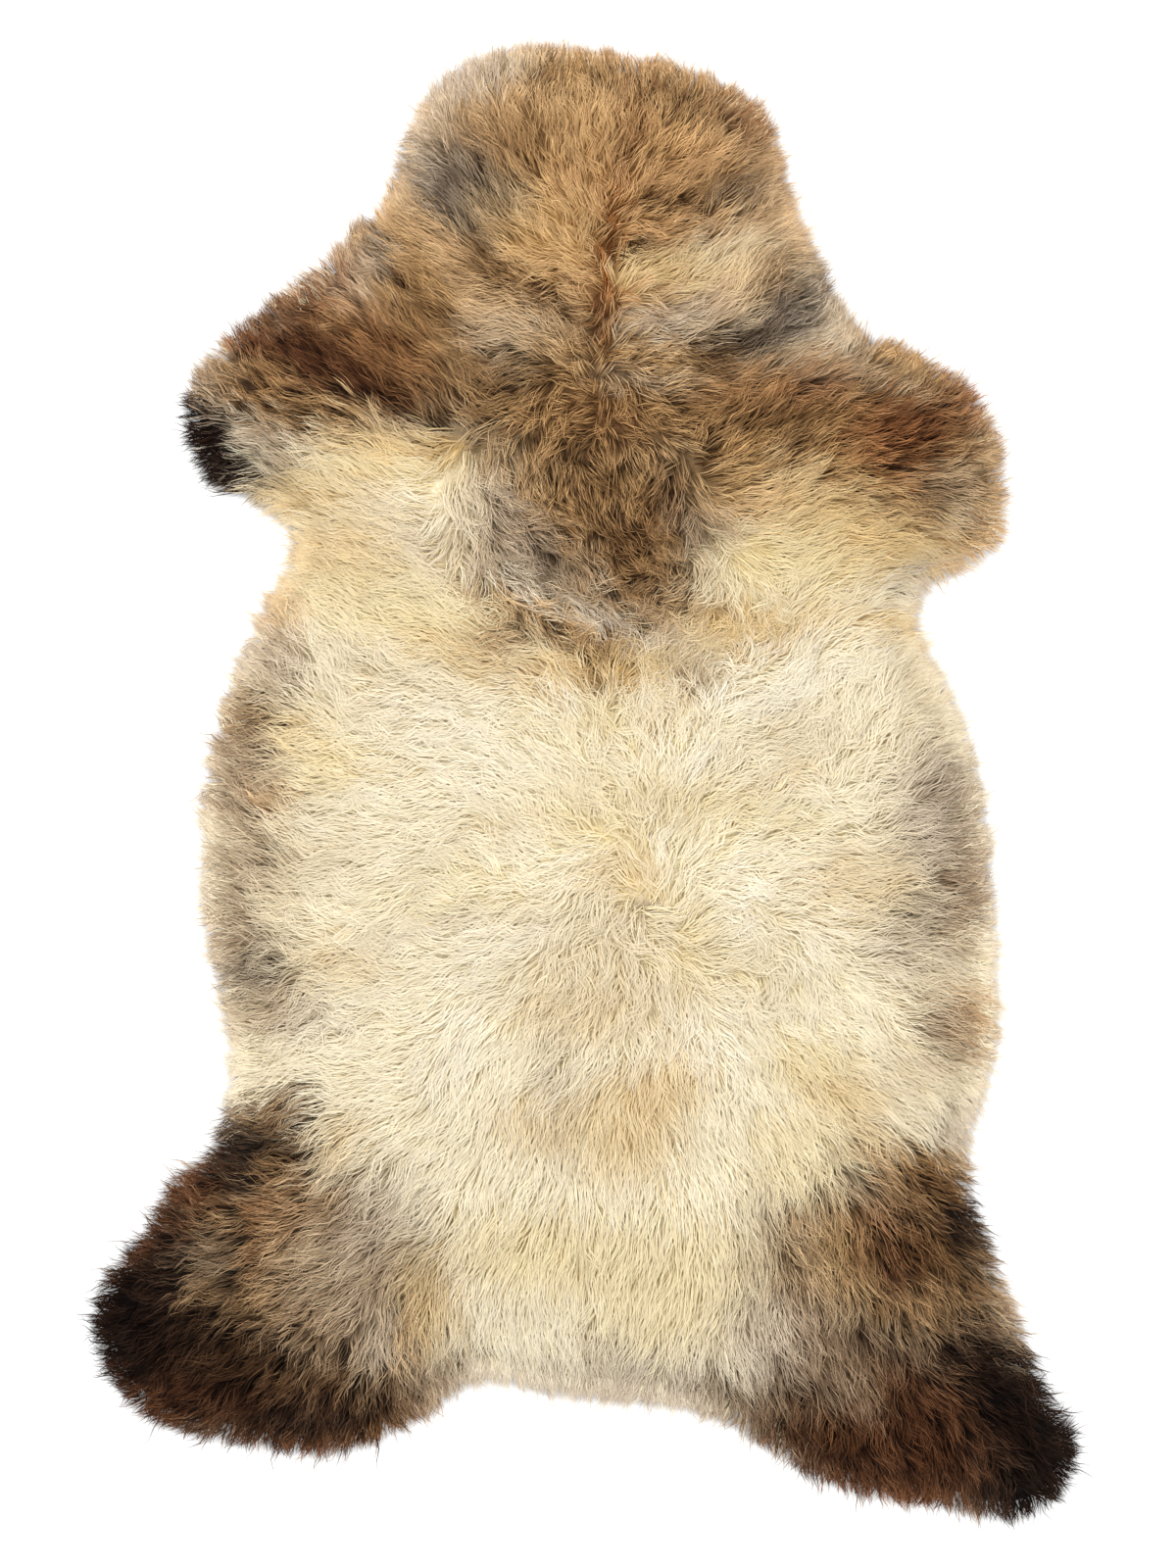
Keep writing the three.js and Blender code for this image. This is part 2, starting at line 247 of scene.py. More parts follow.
# The combing at (x, y): a unit vector along the sum of weight e^(-(r / reach)^2) (cos d, sin d)
# over the rows, weight e^(-(r / reach)^2) r / (r + partingCore) away from each parting, and the lean
# away from the whorl. The sum is turned by swirl e^(-(far / swirlReach)^2), and to its direction
# comes outAtRim e^(-depth / rimFade) straight out of the rim.
def combedWay(x, y, depth, outX, outY):
    wx, wy = x - combing["whorl"][0], y - combing["whorl"][1]
    far = np.hypot(wx, wy) + tiny
    alongX, alongY = combing["awayFromWhorl"] * wx / far, combing["awayFromWhorl"] * wy / far
    for a, b, reach, weight in combing["partings"].values():
        sideX, sideY = lineOffset(x, y, a, b)
        r = np.hypot(sideX, sideY)
        pull = weight * np.exp(-(r / reach)**2) / (r + combing["partingCore"])
        alongX, alongY = alongX + pull * sideX, alongY + pull * sideY
    for rows in combedRows.values():
        for px, py, direction, reach, weight in rows:
            pull = weight * np.exp(-((x - px)**2 + (y - py)**2) / reach**2)
            alongX = alongX + pull * math.cos(math.radians(direction))
            alongY = alongY + pull * math.sin(math.radians(direction))
    swirl = np.radians(combing["swirl"]) * np.exp(-(far / combing["swirlReach"])**2)
    alongX, alongY = (alongX * np.cos(swirl) - alongY * np.sin(swirl),
                      alongX * np.sin(swirl) + alongY * np.cos(swirl))
    alongX, alongY = unit(alongX, alongY)
    rim = combing["outAtRim"] * np.exp(-np.maximum(depth, 0) / combing["rimFade"])
    return unit(alongX + rim * outX, alongY + rim * outY)


line = smoothLine([p for stretch in skinOutline.values() for p in stretch], skin["curveSteps"])
fieldLow = line.min(0) - skin["fieldMargin"]
fieldCount = np.ceil((line.max(0) + skin["fieldMargin"] - fieldLow) / skin["fieldStep"]).astype(int)
fieldX, fieldY = np.meshgrid(fieldLow[0] + skin["fieldStep"] * np.arange(fieldCount[0] + 1),
                             fieldLow[1] + skin["fieldStep"] * np.arange(fieldCount[1] + 1))
depthField = depthInside(fieldX, fieldY, line)
inY, inX = np.gradient(depthField, skin["fieldStep"])
outField = unit(-inX, -inY)
topField = fleeceHeight(fieldX, fieldY, depthField)
slopeY, slopeX = np.gradient(topField, skin["fieldStep"])
wayField = combedWay(fieldX, fieldY, depthField, *outField)
# How fast the combing spreads, in 1/m: its x's slope along x and its y's along y, added.
partField = np.gradient(wayField[0], skin["fieldStep"], axis=1)
partField += np.gradient(wayField[1], skin["fieldStep"], axis=0)
print("skin worked out on", fieldX.size, "points")


# A field's value at (x, y): low + (high - low) of the way between the four points round it, first
# along x and then along y. Places past the field read its edge.
def sample(field, x, y):
    edge = 1e-3  # of a step, so that the last place has a point beyond it
    i = np.clip((x - fieldLow[0]) / skin["fieldStep"], 0, fieldCount[0] - edge)
    j = np.clip((y - fieldLow[1]) / skin["fieldStep"], 0, fieldCount[1] - edge)
    column, row = i.astype(int), j.astype(int)
    i, j = i - column, j - row
    low = field[row, column] * (1 - i) + field[row, column + 1] * i
    high = field[row + 1, column] * (1 - i) + field[row + 1, column + 1] * i
    return low * (1 - j) + high * j


# The wool's shades: the colour of the tips, the colour deep in the fleece, and how unevenly they are
# spread over the strands. The deep colour is the roots' own deeper tone with painted shade in it: it
# makes the dark gaps between the locks, golden in the cream.
woolShades = {
    "white": ("faf3e3", "efe3c6", 0.020),
    "cream": ("f3e9d1", "ecddb4", 0.022),
    "beige": ("e5d5b5", "cfba90", 0.038),
    "straw": ("ebdbb0", "dcc68e", 0.032),
    "wheat": ("e0c48e", "c09759", 0.06),
    "honey": ("d8ab76", "8f6234", 0.11),
    "tan": ("c1945e", "3b230f", 0.19),
    "russet": ("97613b", "261107", 0.21),
    "rust": ("a9662f", "44200a", 0.18),
    "chestnut": ("603c25", "130905", 0.25),
    "silver": ("d2c1ab", "93806a", 0.10),
    "taupe": ("b59b7d", "5e4a36", 0.17),
    "slate": ("7f6e5d", "1e1712", 0.23),
    "umber": ("916b44", "1d1108", 0.25),
    "black": ("26170f", "080403", 0.30),
}

# Where each shade lies over the cream: (x, y, half length, half width, turn in degrees, shade,
# strength), painted in order. In shares of its ellipse, a patch ends at patchEnd, and patchFade
# says how wide a band inside that it fades over.
patchEnd, patchFade = 1.45, 1.05
shadePatches = {
    "back": [
        (-.250, -.060, .150, .036, 90, "beige", .85), (.262, -.070, .150, .036, 92, "beige", .85),
        (-.240, .100, .050, .030, 80, "beige", .7), (.250, .085, .040, .020, 105, "beige", .5),
        (-.150, .135, .100, .028, 172, "straw", .75), (-.085, .095, .065, .018, 162, "wheat", .5),
        (.005, .050, .034, .020, 0, "straw", .6), (-.215, .020, .044, .034, 0, "straw", .5),
        (-.232, .044, .034, .016, -20, "wheat", .42), (-.235, .130, .024, .020, 45, "honey", .45),
        (-.240, .098, .022, .030, 80, "silver", .7), (-.262, .046, .026, .020, 70, "umber", .75),
        (-.262, .000, .038, .028, 85, "taupe", .8), (-.244, -.014, .024, .011, 0, "honey", .5),
        (-.262, -.058, .026, .020, 0, "taupe", .65), (-.250, -.050, .012, .006, 0, "slate", .45),
        (-.270, -.110, .042, .018, 90, "taupe", .75), (-.258, -.145, .026, .014, 0, "slate", .65),
        (-.232, -.160, .032, .010, -15, "taupe", .6), (-.243, -.120, .020, .010, 0, "slate", .35),
        (-.190, -.138, .036, .016, 0, "wheat", .35), (-.248, -.178, .030, .020, 0, "taupe", .5),
        (-.215, -.185, .040, .010, 10, "silver", .45), (-.195, -.060, .050, .020, 10, "beige", .4),
        (.275, .008, .018, .014, 0, "slate", .35), (.262, -.028, .050, .028, 95, "silver", .7),
        (.286, -.050, .052, .020, 95, "taupe", .6), (.280, -.045, .050, .020, 95, "slate", .12),
        (.256, -.098, .034, .015, 0, "slate", .5), (.290, -.088, .030, .018, 80, "taupe", .65),
        (.290, -.182, .028, .016, 90, "honey", .8), (.270, -.188, .028, .018, 90, "taupe", .65),
        (.248, -.130, .042, .014, -10, "silver", .55), (.240, -.225, .050, .030, 0, "beige", .6),
        # The wheat patch at (.030, -.066) is painted shade in the hollow at the loin's whorl.
        (.030, -.066, .032, .022, 0, "wheat", .4), (.010, -.035, .034, .011, 0, "straw", .6),
        (.120, -.022, .064, .013, -8, "straw", .55), (.010, -.112, .085, .030, 0, "beige", .5),
        (-.005, -.170, .050, .028, 10, "wheat", .35), (.060, -.165, .040, .040, 0, "beige", .3),
        (.120, -.140, .060, .030, 0, "straw", .3), (.160, .125, .050, .016, 8, "wheat", .5),
        (.235, .122, .022, .016, 0, "wheat", .7), (-.120, -.075, .060, .030, 0, "straw", .3),
        (.030, -.020, .080, .034, 0, "straw", .45), (.030, -.150, .110, .050, 0, "beige", .35),
        (-.155, .072, .060, .028, 0, "beige", .5), (.155, .032, .050, .030, 20, "beige", .4),
        (.205, -.078, .044, .032, 0, "wheat", .35), (-.085, .020, .064, .032, -6, "white", .3),
        (.106, .064, .024, .009, -14, "white", .9), (-.020, .066, .016, .010, 60, "white", .8),
        (.070, .014, .028, .010, 8, "white", .8), (.118, -.088, .032, .011, 92, "white", .8),
        (.160, .074, .034, .014, 40, "white", .6), (-.060, -.120, .040, .012, 10, "white", .6),
        (-.100, -.190, .050, .026, 70, "white", .5), (.096, -.196, .036, .022, 100, "white", .6),
        (.035, -.012, .050, .026, 0, "beige", .3), (-.190, .014, .022, .012, 20, "straw", .8),
        (-.148, .012, .030, .006, -12, "wheat", .3), (-.050, .045, .026, .007, 70, "straw", .6),
        (.150, .004, .030, .008, 18, "wheat", .35), (-.060, -.030, .050, .006, 8, "beige", .7),
        (-.120, -.110, .046, .006, 16, "taupe", .22), (.076, -.120, .036, .008, 80, "straw", .8),
        (-.010, -.058, .026, .008, 20, "white", .7), (.052, -.046, .018, .007, 110, "white", .8),
        (-.150, -.060, .040, .010, 14, "white", .5), (.174, -.124, .034, .014, 50, "white", .5),
        (-.125, .060, .040, .010, -10, "white", .5), (-.170, .098, .030, .008, 150, "taupe", .22),
        (.130, .094, .034, .008, 36, "white", .6), (.062, .052, .026, .008, 30, "wheat", .35),
        (-.060, .082, .022, .006, 150, "taupe", .3), (.262, -.020, .060, .016, 95, "silver", .4),
        (.288, -.092, .036, .020, 90, "taupe", .65), (.288, -.190, .030, .018, 90, "taupe", .5),
        (-.236, .090, .030, .022, 80, "taupe", .3), (-.264, .020, .050, .016, 85, "taupe", .35),
        (.043, -.093, .012, .008, 0, "taupe", .7),
    ],
    "rump": [
        (-.022, -.235, .055, .020, 92, "taupe", .2), (-.040, -.262, .034, .022, 0, "wheat", .35),
        (.030, -.262, .045, .040, 0, "wheat", .55), (.062, -.228, .032, .022, 0, "wheat", .45),
        (.170, -.215, .038, .022, 0, "straw", .8), (.192, -.243, .032, .022, -20, "wheat", .6),
        (.155, -.263, .016, .011, 0, "wheat", .75), (.215, -.276, .034, .012, 0, "wheat", .55),
        (.282, -.262, .022, .015, 60, "silver", .6), (-.190, -.272, .026, .020, 60, "wheat", .4),
        (.040, -.360, .130, .032, 0, "straw", .6), (.060, -.402, .066, .032, 0, "straw", .6),
        (-.050, -.352, .064, .030, 0, "straw", .45), (.010, -.432, .022, .018, 90, "taupe", .25),
        (.000, -.462, .135, .010, -3, "silver", .7), (.062, -.455, .054, .014, -10, "silver", .7),
        (.112, -.470, .032, .015, -22, "taupe", .55),
    ],
    "neck": [
        (.010, .452, .178, .125, 0, "honey", .96), (-.020, .548, .056, .016, 0, "tan", .75),
        (-.030, .545, .016, .010, 0, "umber", .6), (-.088, .543, .044, .016, 15, "silver", .9),
        (-.118, .515, .036, .020, 60, "silver", .5), (.070, .535, .050, .012, -12, "tan", .8),
        (.095, .520, .044, .018, -25, "umber", .55), (.120, .508, .030, .012, -45, "russet", .6),
        (.055, .500, .040, .020, 0, "tan", .4), (.000, .505, .040, .026, 0, "wheat", .25),
        (-.070, .500, .050, .026, -10, "umber", .4), (-.098, .455, .050, .026, 140, "umber", .55),
        (-.094, .466, .044, .025, 155, "slate", .85), (-.112, .450, .028, .016, 135, "slate", .85),
        (-.094, .428, .036, .012, 135, "slate", .8), (-.068, .445, .026, .014, 0, "taupe", .7),
        (-.130, .482, .032, .014, 100, "silver", .6), (-.036, .425, .056, .040, -10, "wheat", .38),
        (-.045, .474, .022, .020, 0, "tan", .4), (-.078, .395, .034, .013, 145, "umber", .9),
        (-.050, .378, .048, .011, 150, "umber", .85), (-.030, .372, .018, .007, 160, "chestnut", .9),
        # The russet and chestnut lines from (.034, .520) down to (.008, .330) follow the neck's
        # parting: the wool's colour there, with painted shade in the parting.
        (-.018, .360, .032, .008, 165, "umber", .7), (.034, .520, .034, .006, 85, "russet", .6),
        (.026, .470, .036, .006, 78, "russet", .7), (.018, .430, .024, .008, 80, "russet", .85),
        (.014, .405, .028, .009, 85, "chestnut", .5), (.012, .375, .034, .008, 88, "russet", .9),
        # The black mark at (.036, .411) is a painted shadow in the crease where the right throat fold
        # starts.
        (.008, .330, .036, .008, 95, "russet", .85), (.036, .411, .018, .005, 10, "black", .9),
        (.065, .445, .034, .009, 5, "umber", .75), (.105, .458, .038, .016, 20, "umber", .5),
        (.112, .450, .028, .010, 25, "slate", .6), (.088, .424, .010, .006, 0, "slate", .6),
        (.132, .445, .022, .010, 30, "taupe", .5), (.062, .482, .024, .008, 0, "tan", .45),
        (.070, .393, .054, .014, 3, "straw", .75), (.060, .395, .030, .010, 0, "wheat", .6),
        (-.102, .350, .040, .016, 140, "tan", .4), (.112, .412, .036, .013, 10, "beige", .8),
        (.050, .352, .052, .012, 5, "silver", .75), (.080, .366, .034, .011, 25, "silver", .5),
        (.150, .398, .026, .012, 55, "umber", .5), (.150, .378, .034, .012, 40, "umber", .5),
        (.166, .376, .034, .013, 50, "slate", .65), (.108, .337, .050, .013, 18, "slate", .95),
        (.155, .352, .038, .017, 38, "slate", .95), (.095, .321, .026, .008, 5, "black", .9),
        (.120, .338, .024, .006, 20, "black", .7), (.060, .328, .036, .007, 5, "umber", .75),
        # The rust lines from (.022, .440) down to (.010, .345) redden the neck's parting: its colour
        # there, with painted shade in it.
        (-.060, .352, .042, .009, 165, "silver", .5), (.022, .440, .024, .006, 80, "rust", .7),
        (.014, .396, .030, .007, 85, "rust", .9), (.010, .345, .036, .007, 92, "rust", .8),
    ],
    "leftForeleg": [
        (-.195, .330, .115, .052, 14, "tan", .9), (-.150, .395, .070, .036, 125, "tan", .85),
        (-.190, .325, .090, .030, -18, "umber", .95), (-.135, .335, .050, .030, 150, "umber", .6),
        (-.178, .392, .036, .020, 50, "silver", .75), (-.172, .372, .030, .013, 125, "taupe", .5),
        (-.152, .398, .034, .010, 122, "slate", .7), (-.136, .378, .024, .009, 125, "umber", .9),
        (-.113, .358, .024, .008, 140, "umber", .85), (-.215, .372, .050, .018, 40, "russet", .75),
        (-.242, .352, .026, .013, 40, "slate", .55), (-.170, .345, .030, .020, 120, "russet", .5),
        (-.130, .318, .030, .018, 130, "russet", .5), (-.190, .312, .080, .016, -20, "chestnut", 1),
        (-.150, .292, .050, .013, -25, "chestnut", .9), (-.240, .335, .040, .013, -15, "chestnut", .85),
        (-.210, .345, .040, .009, -30, "chestnut", .6), (-.268, .340, .022, .014, 30, "russet", .6),
        (-.262, .306, .036, .016, 160, "umber", .7), (-.200, .280, .070, .012, 174, "tan", .7),
        (-.236, .288, .040, .015, 165, "umber", .9), (-.288, .318, .022, .014, 60, "taupe", .7),
        (-.270, .276, .036, .011, 140, "silver", .7), (-.150, .230, .115, .032, 8, "cream", .95),
        (-.140, .256, .070, .011, -4, "wheat", .9), (-.235, .252, .030, .016, 120, "taupe", .7),
        (-.170, .240, .070, .010, 4, "straw", .8), (-.190, .226, .050, .014, 0, "wheat", .45),
        (-.225, .220, .034, .012, -20, "wheat", .6), (-.190, .180, .060, .028, 0, "wheat", .6),
        (-.120, .195, .066, .020, 155, "beige", .7), (-.304, .276, .032, .022, 110, "black", .95),
        (-.286, .254, .050, .020, 124, "black", 1),
    ],
    "shoulders": [
        (.000, .295, .118, .052, 0, "tan", .95), (-.050, .290, .070, .034, 0, "umber", .4),
        (-.085, .300, .028, .010, 0, "umber", .6), (-.060, .320, .022, .012, 150, "slate", .5),
        (-.086, .325, .024, .007, 150, "umber", .8), (.016, .275, .034, .022, 160, "russet", .4),
        (.060, .285, .030, .014, 0, "umber", .4), (.005, .280, .060, .032, 0, "honey", .4),
        (.040, .310, .048, .009, -5, "silver", .5), (-.082, .340, .022, .010, 160, "silver", .45),
        (.125, .300, .050, .020, 10, "russet", .75), (.105, .268, .044, .020, 0, "tan", .8),
        (.010, .205, .098, .062, 0, "tan", .92), (.020, .195, .078, .060, 90, "umber", .5),
        (.018, .200, .044, .012, 85, "umber", .6), (.060, .225, .028, .020, 60, "umber", .65),
        (.052, .195, .034, .016, 60, "umber", .7), (.044, .148, .040, .026, 130, "umber", .55),
        (.028, .165, .030, .013, 80, "umber", .8), (-.030, .245, .040, .016, 0, "umber", .5),
        (.056, .160, .015, .012, 0, "umber", .7), (.020, .190, .012, .008, 0, "chestnut", .3),
        (.058, .212, .016, .010, 0, "chestnut", .5), (-.052, .190, .040, .028, 130, "taupe", .85),
        (-.077, .216, .027, .022, 100, "silver", .5), (-.056, .178, .026, .010, 140, "silver", .5),
        (-.030, .176, .020, .010, 140, "slate", .6), (-.005, .165, .030, .012, 80, "taupe", .6),
        (.084, .192, .036, .014, 120, "taupe", .6), (.092, .176, .030, .008, 125, "silver", .5),
        # The taupe line at (-.110, .178) is a painted shadow along the upper side of the left
        # shoulder's ridge.
        (-.097, .200, .040, .018, 90, "beige", .65), (-.110, .178, .032, .006, 155, "taupe", .6),
        (-.040, .158, .036, .008, 150, "slate", .5), (-.035, .130, .068, .015, 155, "tan", .85),
        (.010, .128, .034, .007, 152, "silver", .9), (.045, .112, .042, .006, 165, "silver", .7),
        (.010, .108, .024, .009, 0, "umber", .9), (-.065, .112, .026, .013, 0, "tan", .6),
        (.020, .088, .064, .017, -5, "wheat", .9), (.010, .090, .020, .010, 90, "tan", .4),
        (.085, .104, .038, .009, 0, "silver", .6), (.080, .085, .032, .006, 155, "taupe", .5),
        (.120, .122, .048, .013, 0, "wheat", .75), (.125, .148, .042, .012, 150, "cream", .65),
        (-.068, .157, .084, .005, 154, "white", .8), (-.112, .206, .030, .010, 150, "white", .6),
        (.106, .246, .034, .020, 20, "tan", .6), (.098, .202, .026, .018, 60, "taupe", .45),
        (.110, .160, .024, .008, 140, "white", .7), (.082, .140, .020, .012, 150, "tan", .55),
        (.102, .128, .030, .013, 0, "wheat", .6), (.058, .132, .022, .012, 0, "tan", .4),
        (.100, .108, .044, .014, 0, "wheat", .6),
    ],
    "rightForeleg": [
        (.212, .265, .122, .054, -12, "tan", .95), (.245, .330, .060, .024, -27, "tan", .85),
        (.205, .316, .050, .018, -20, "taupe", .7), (.195, .343, .034, .014, -40, "silver", .5),
        (.195, .322, .032, .014, -20, "tan", .5), (.180, .308, .036, .012, 25, "silver", .4),
        (.165, .300, .040, .016, 20, "russet", .7), (.160, .280, .080, .018, 4, "umber", .5),
        (.128, .266, .040, .020, 0, "umber", .4), (.236, .270, .046, .024, -5, "russet", .95),
        (.252, .276, .036, .020, -10, "chestnut", .35), (.285, .290, .027, .022, 130, "russet", .75),
        (.280, .272, .024, .012, 100, "umber", .5), (.230, .238, .042, .014, -20, "russet", .6),
        (.272, .228, .034, .020, 0, "taupe", .65), (.255, .216, .018, .012, 0, "umber", .5),
        (.290, .204, .027, .018, 90, "taupe", .5), (.303, .212, .032, .012, 85, "tan", .6),
        (.160, .215, .064, .024, -10, "wheat", .75), (.192, .184, .064, .030, 0, "wheat", .9),
        (.150, .168, .064, .030, 0, "straw", .8), (.256, .184, .052, .018, -5, "wheat", .65),
        (.210, .232, .034, .011, -12, "tan", .6), (.242, .207, .034, .010, -15, "tan", .6),
        (.288, .175, .032, .014, 50, "honey", .65), (.256, .157, .032, .012, 10, "silver", .5),
        (.116, .242, .034, .020, 10, "tan", .6), (.122, .214, .034, .014, 0, "honey", .4),
    ],
    "leftHindleg": [
        (-.250, -.392, .125, .098, 5, "umber", .85), (-.208, -.378, .062, .050, 100, "tan", .65),
        (-.205, -.385, .056, .044, 100, "taupe", .65), (-.168, -.385, .050, .030, 90, "silver", .5),
        (-.172, -.338, .034, .020, 60, "silver", .65), (-.262, -.282, .042, .030, 30, "black", .9),
        (-.242, -.250, .032, .014, 20, "umber", .75), (-.232, -.292, .030, .018, 60, "umber", .8),
        (-.232, -.322, .034, .014, 0, "russet", .35), (-.252, -.345, .026, .010, 80, "russet", .45),
        (-.300, -.315, .028, .020, 40, "chestnut", .9), (-.276, -.328, .022, .018, 60, "umber", .5),
        (-.322, -.345, .026, .018, 30, "chestnut", .6), (-.290, -.360, .032, .018, 0, "slate", .5),
        (-.268, -.382, .014, .011, 0, "black", .6), (-.345, -.400, .056, .036, 80, "black", .9),
        (-.352, -.440, .040, .036, 0, "black", .9), (-.366, -.420, .080, .040, 80, "black", .95),
        (-.345, -.492, .060, .026, 12, "chestnut", .9), (-.300, -.432, .066, .034, -10, "black", .85),
        (-.290, -.470, .072, .028, -5, "chestnut", .97), (-.250, -.440, .060, .018, -10, "umber", .85),
        (-.205, -.480, .070, .028, 10, "chestnut", .95), (-.215, -.488, .024, .014, 0, "black", .6),
        (-.160, -.470, .040, .024, 30, "umber", .8), (-.222, -.470, .090, .032, 6, "black", .2),
        (-.275, -.440, .060, .026, -8, "black", .3), (-.215, -.476, .050, .018, 8, "umber", .35),
        (-.240, -.512, .130, .026, 9, "chestnut", .9), (-.150, -.502, .050, .020, 25, "umber", .8),
        (-.250, -.520, .150, .011, 10, "russet", .5), (-.225, -.430, .034, .011, -20, "slate", .5),
        (-.205, -.484, .052, .022, 8, "slate", .3), (-.205, -.484, .056, .020, 8, "black", .45),
        (-.202, -.374, .050, .036, 100, "taupe", .5), (-.196, -.370, .040, .026, 90, "beige", .25),
        (-.328, -.332, .070, .018, 50, "chestnut", .85), (-.292, -.438, .056, .028, -8, "black", .35),
        (-.128, -.400, .042, .028, 95, "wheat", .6), (-.150, -.430, .034, .022, 80, "silver", .5),
        (-.138, -.424, .034, .010, 75, "tan", .5), (-.148, -.404, .016, .005, 90, "slate", .9),
        (-.115, -.458, .034, .016, 30, "taupe", .65),
    ],
    "rightHindleg": [
        (.246, -.400, .128, .092, -52, "umber", .85), (.186, -.382, .064, .036, 100, "tan", .65),
        (.172, -.395, .060, .034, 100, "taupe", .55), (.146, -.430, .050, .036, -30, "silver", .65),
        (.218, -.342, .034, .020, 60, "russet", .45), (.240, -.360, .036, .026, 0, "chestnut", .85),
        (.282, -.332, .044, .026, 100, "black", .9), (.260, -.306, .040, .022, -10, "umber", .9),
        (.250, -.288, .042, .010, -5, "tan", .6), (.272, -.365, .044, .022, -40, "umber", .8),
        (.225, -.425, .060, .022, -30, "slate", .55), (.194, -.440, .044, .022, -50, "taupe", .85),
        (.242, -.402, .024, .012, 0, "tan", .4), (.294, -.416, .034, .012, 10, "taupe", .5),
        (.284, -.438, .030, .012, -10, "black", .8), (.250, -.482, .098, .038, -16, "chestnut", .97),
        (.186, -.466, .042, .015, -20, "slate", .5), (.160, -.492, .046, .020, -20, "umber", .85),
        (.130, -.475, .026, .013, -20, "slate", .4), (.235, -.522, .120, .042, -14, "chestnut", .97),
        (.225, -.548, .092, .008, -10, "russet", .8), (.344, -.490, .066, .046, -50, "black", .96),
        (.308, -.452, .044, .022, -60, "black", .85), (.350, -.545, .050, .030, 20, "black", .95),
        (.160, -.284, .046, .034, 30, "straw", .85), (.188, -.452, .042, .022, -30, "taupe", .75),
        (.134, -.470, .030, .016, -25, "taupe", .5), (.196, -.366, .040, .026, 100, "wheat", .3),
        (.160, -.276, .050, .030, 30, "cream", .4),
    ],
}


# Linear light values of colours that are given as displayed: ((c + 0.055) / 1.055)^2.4, or c / 12.92
# where c is dark.
def toLinear(shown):
    return np.where(shown > 0.04045, ((shown + 0.055) / 1.055)**2.4, shown / 12.92)


# A colour written as rrggbb, as displayed values from 0 to 1.
def shownColour(text):
    return np.array([int(text[i:i + 2], 16) / 255 for i in (0, 2, 4)])


# The wool at (x, y): its tips' colour, its deep colour and its unevenness. Each patch is laid over
# what is there by its strength, in displayed values, times a fade of 3 s^2 - 2 s^3, with s from 1
# inside its band to 0 at its end.
def paintedWool(x, y):
    shades = {name: np.array([*shownColour(tip), *shownColour(deep), uneven])
              for name, (tip, deep, uneven) in woolShades.items()}
    paint = np.broadcast_to(shades["cream"], (*x.shape, 7))
    for rows in shadePatches.values():
        for px, py, length, width, turn, shade, strength in rows:
            c, s = math.cos(math.radians(turn)), math.sin(math.radians(turn))
            dx, dy = x - px, y - py
            r = np.hypot((dx * c + dy * s) / length, (dy * c - dx * s) / width)
            fade = np.clip((patchEnd - r) / patchFade, 0, 1)
            cover = (strength * fade * fade * (3 - 2 * fade))[..., None]
            paint = paint + (shades[shade] - paint) * cover
    return np.concatenate([toLinear(paint[..., :6]), paint[..., 6:]], -1)


paintField = paintedWool(fieldX, fieldY)
print("wool painted,", sum(len(rows) for rows in shadePatches.values()), "patches")


# The painted wool at (x, y), read from the field: its tips' colour, deep colour and unevenness.
def woolAt(x, y):
    paint = np.stack([sample(paintField[..., k], x, y) for k in range(7)], -1)
    return paint[..., :3], paint[..., 3:6], paint[..., 6]


# A node and its settings, put into a tree, with a value or a link for each input that is named, or
# numbered as _0, _1 and so on.
def addNode(tree, kind, settings=(), **inputs):
    node = tree.nodes.new(kind)
    for name, value in dict(settings).items():
        setattr(node, name, value)
    for name, value in inputs.items():
        socket = node.inputs[int(name[1:]) if name[1:].isdigit() else name.replace("_", " ")]
        if isinstance(value, bpy.types.NodeSocket):
            tree.links.new(value, socket)
        else:
            socket.default_value = value
    return node


# Fine fibres that run along V: noise stretched by Across along U and by Along along V.
# Shade is a brightness round 1, and Height stands for the fibres' relief.
def makeFibreGroup():
    tree = bpy.data.node_groups.new("woolFibres", "ShaderNodeTree")
    tree.interface.new_socket("Vector", in_out="INPUT", socket_type="NodeSocketVector")
    for name, value in (("Across", 6.0), ("Along", 1.2), ("Contrast", 0.35)):
        socket = tree.interface.new_socket(name, in_out="INPUT", socket_type="NodeSocketFloat")
        socket.default_value = value
    tree.interface.new_socket("Shade", in_out="OUTPUT", socket_type="NodeSocketFloat")
    tree.interface.new_socket("Height", in_out="OUTPUT", socket_type="NodeSocketFloat")
    given = addNode(tree, "NodeGroupInput")
    scale = addNode(tree, "ShaderNodeCombineXYZ", X=given.outputs["Across"], Y=given.outputs["Along"])
    place = addNode(tree, "ShaderNodeVectorMath", {"operation": "MULTIPLY"},
                    _0=given.outputs["Vector"], _1=scale.outputs[0])
    noise = addNode(tree, "ShaderNodeTexNoise", {"noise_dimensions": "2D"},
                    Vector=place.outputs[0], Scale=1.0, Detail=2.0, Roughness=0.6)
    centred = addNode(tree, "ShaderNodeMath", {"operation": "SUBTRACT"}, _0=noise.outputs[0], _1=0.5)
    shade = addNode(tree, "ShaderNodeMath", {"operation": "MULTIPLY_ADD"},
                    _0=centred.outputs[0], _1=given.outputs["Contrast"], _2=1.0)
    addNode(tree, "NodeGroupOutput", Shade=shade.outputs[0], Height=noise.outputs[0])
    return tree


fibreGroup = makeFibreGroup()


# An empty material of that name.
def makeMaterial(name):
    material = bpy.data.materials.new(name)
    material.use_nodes = True
    material.node_tree.nodes.clear()
    return material


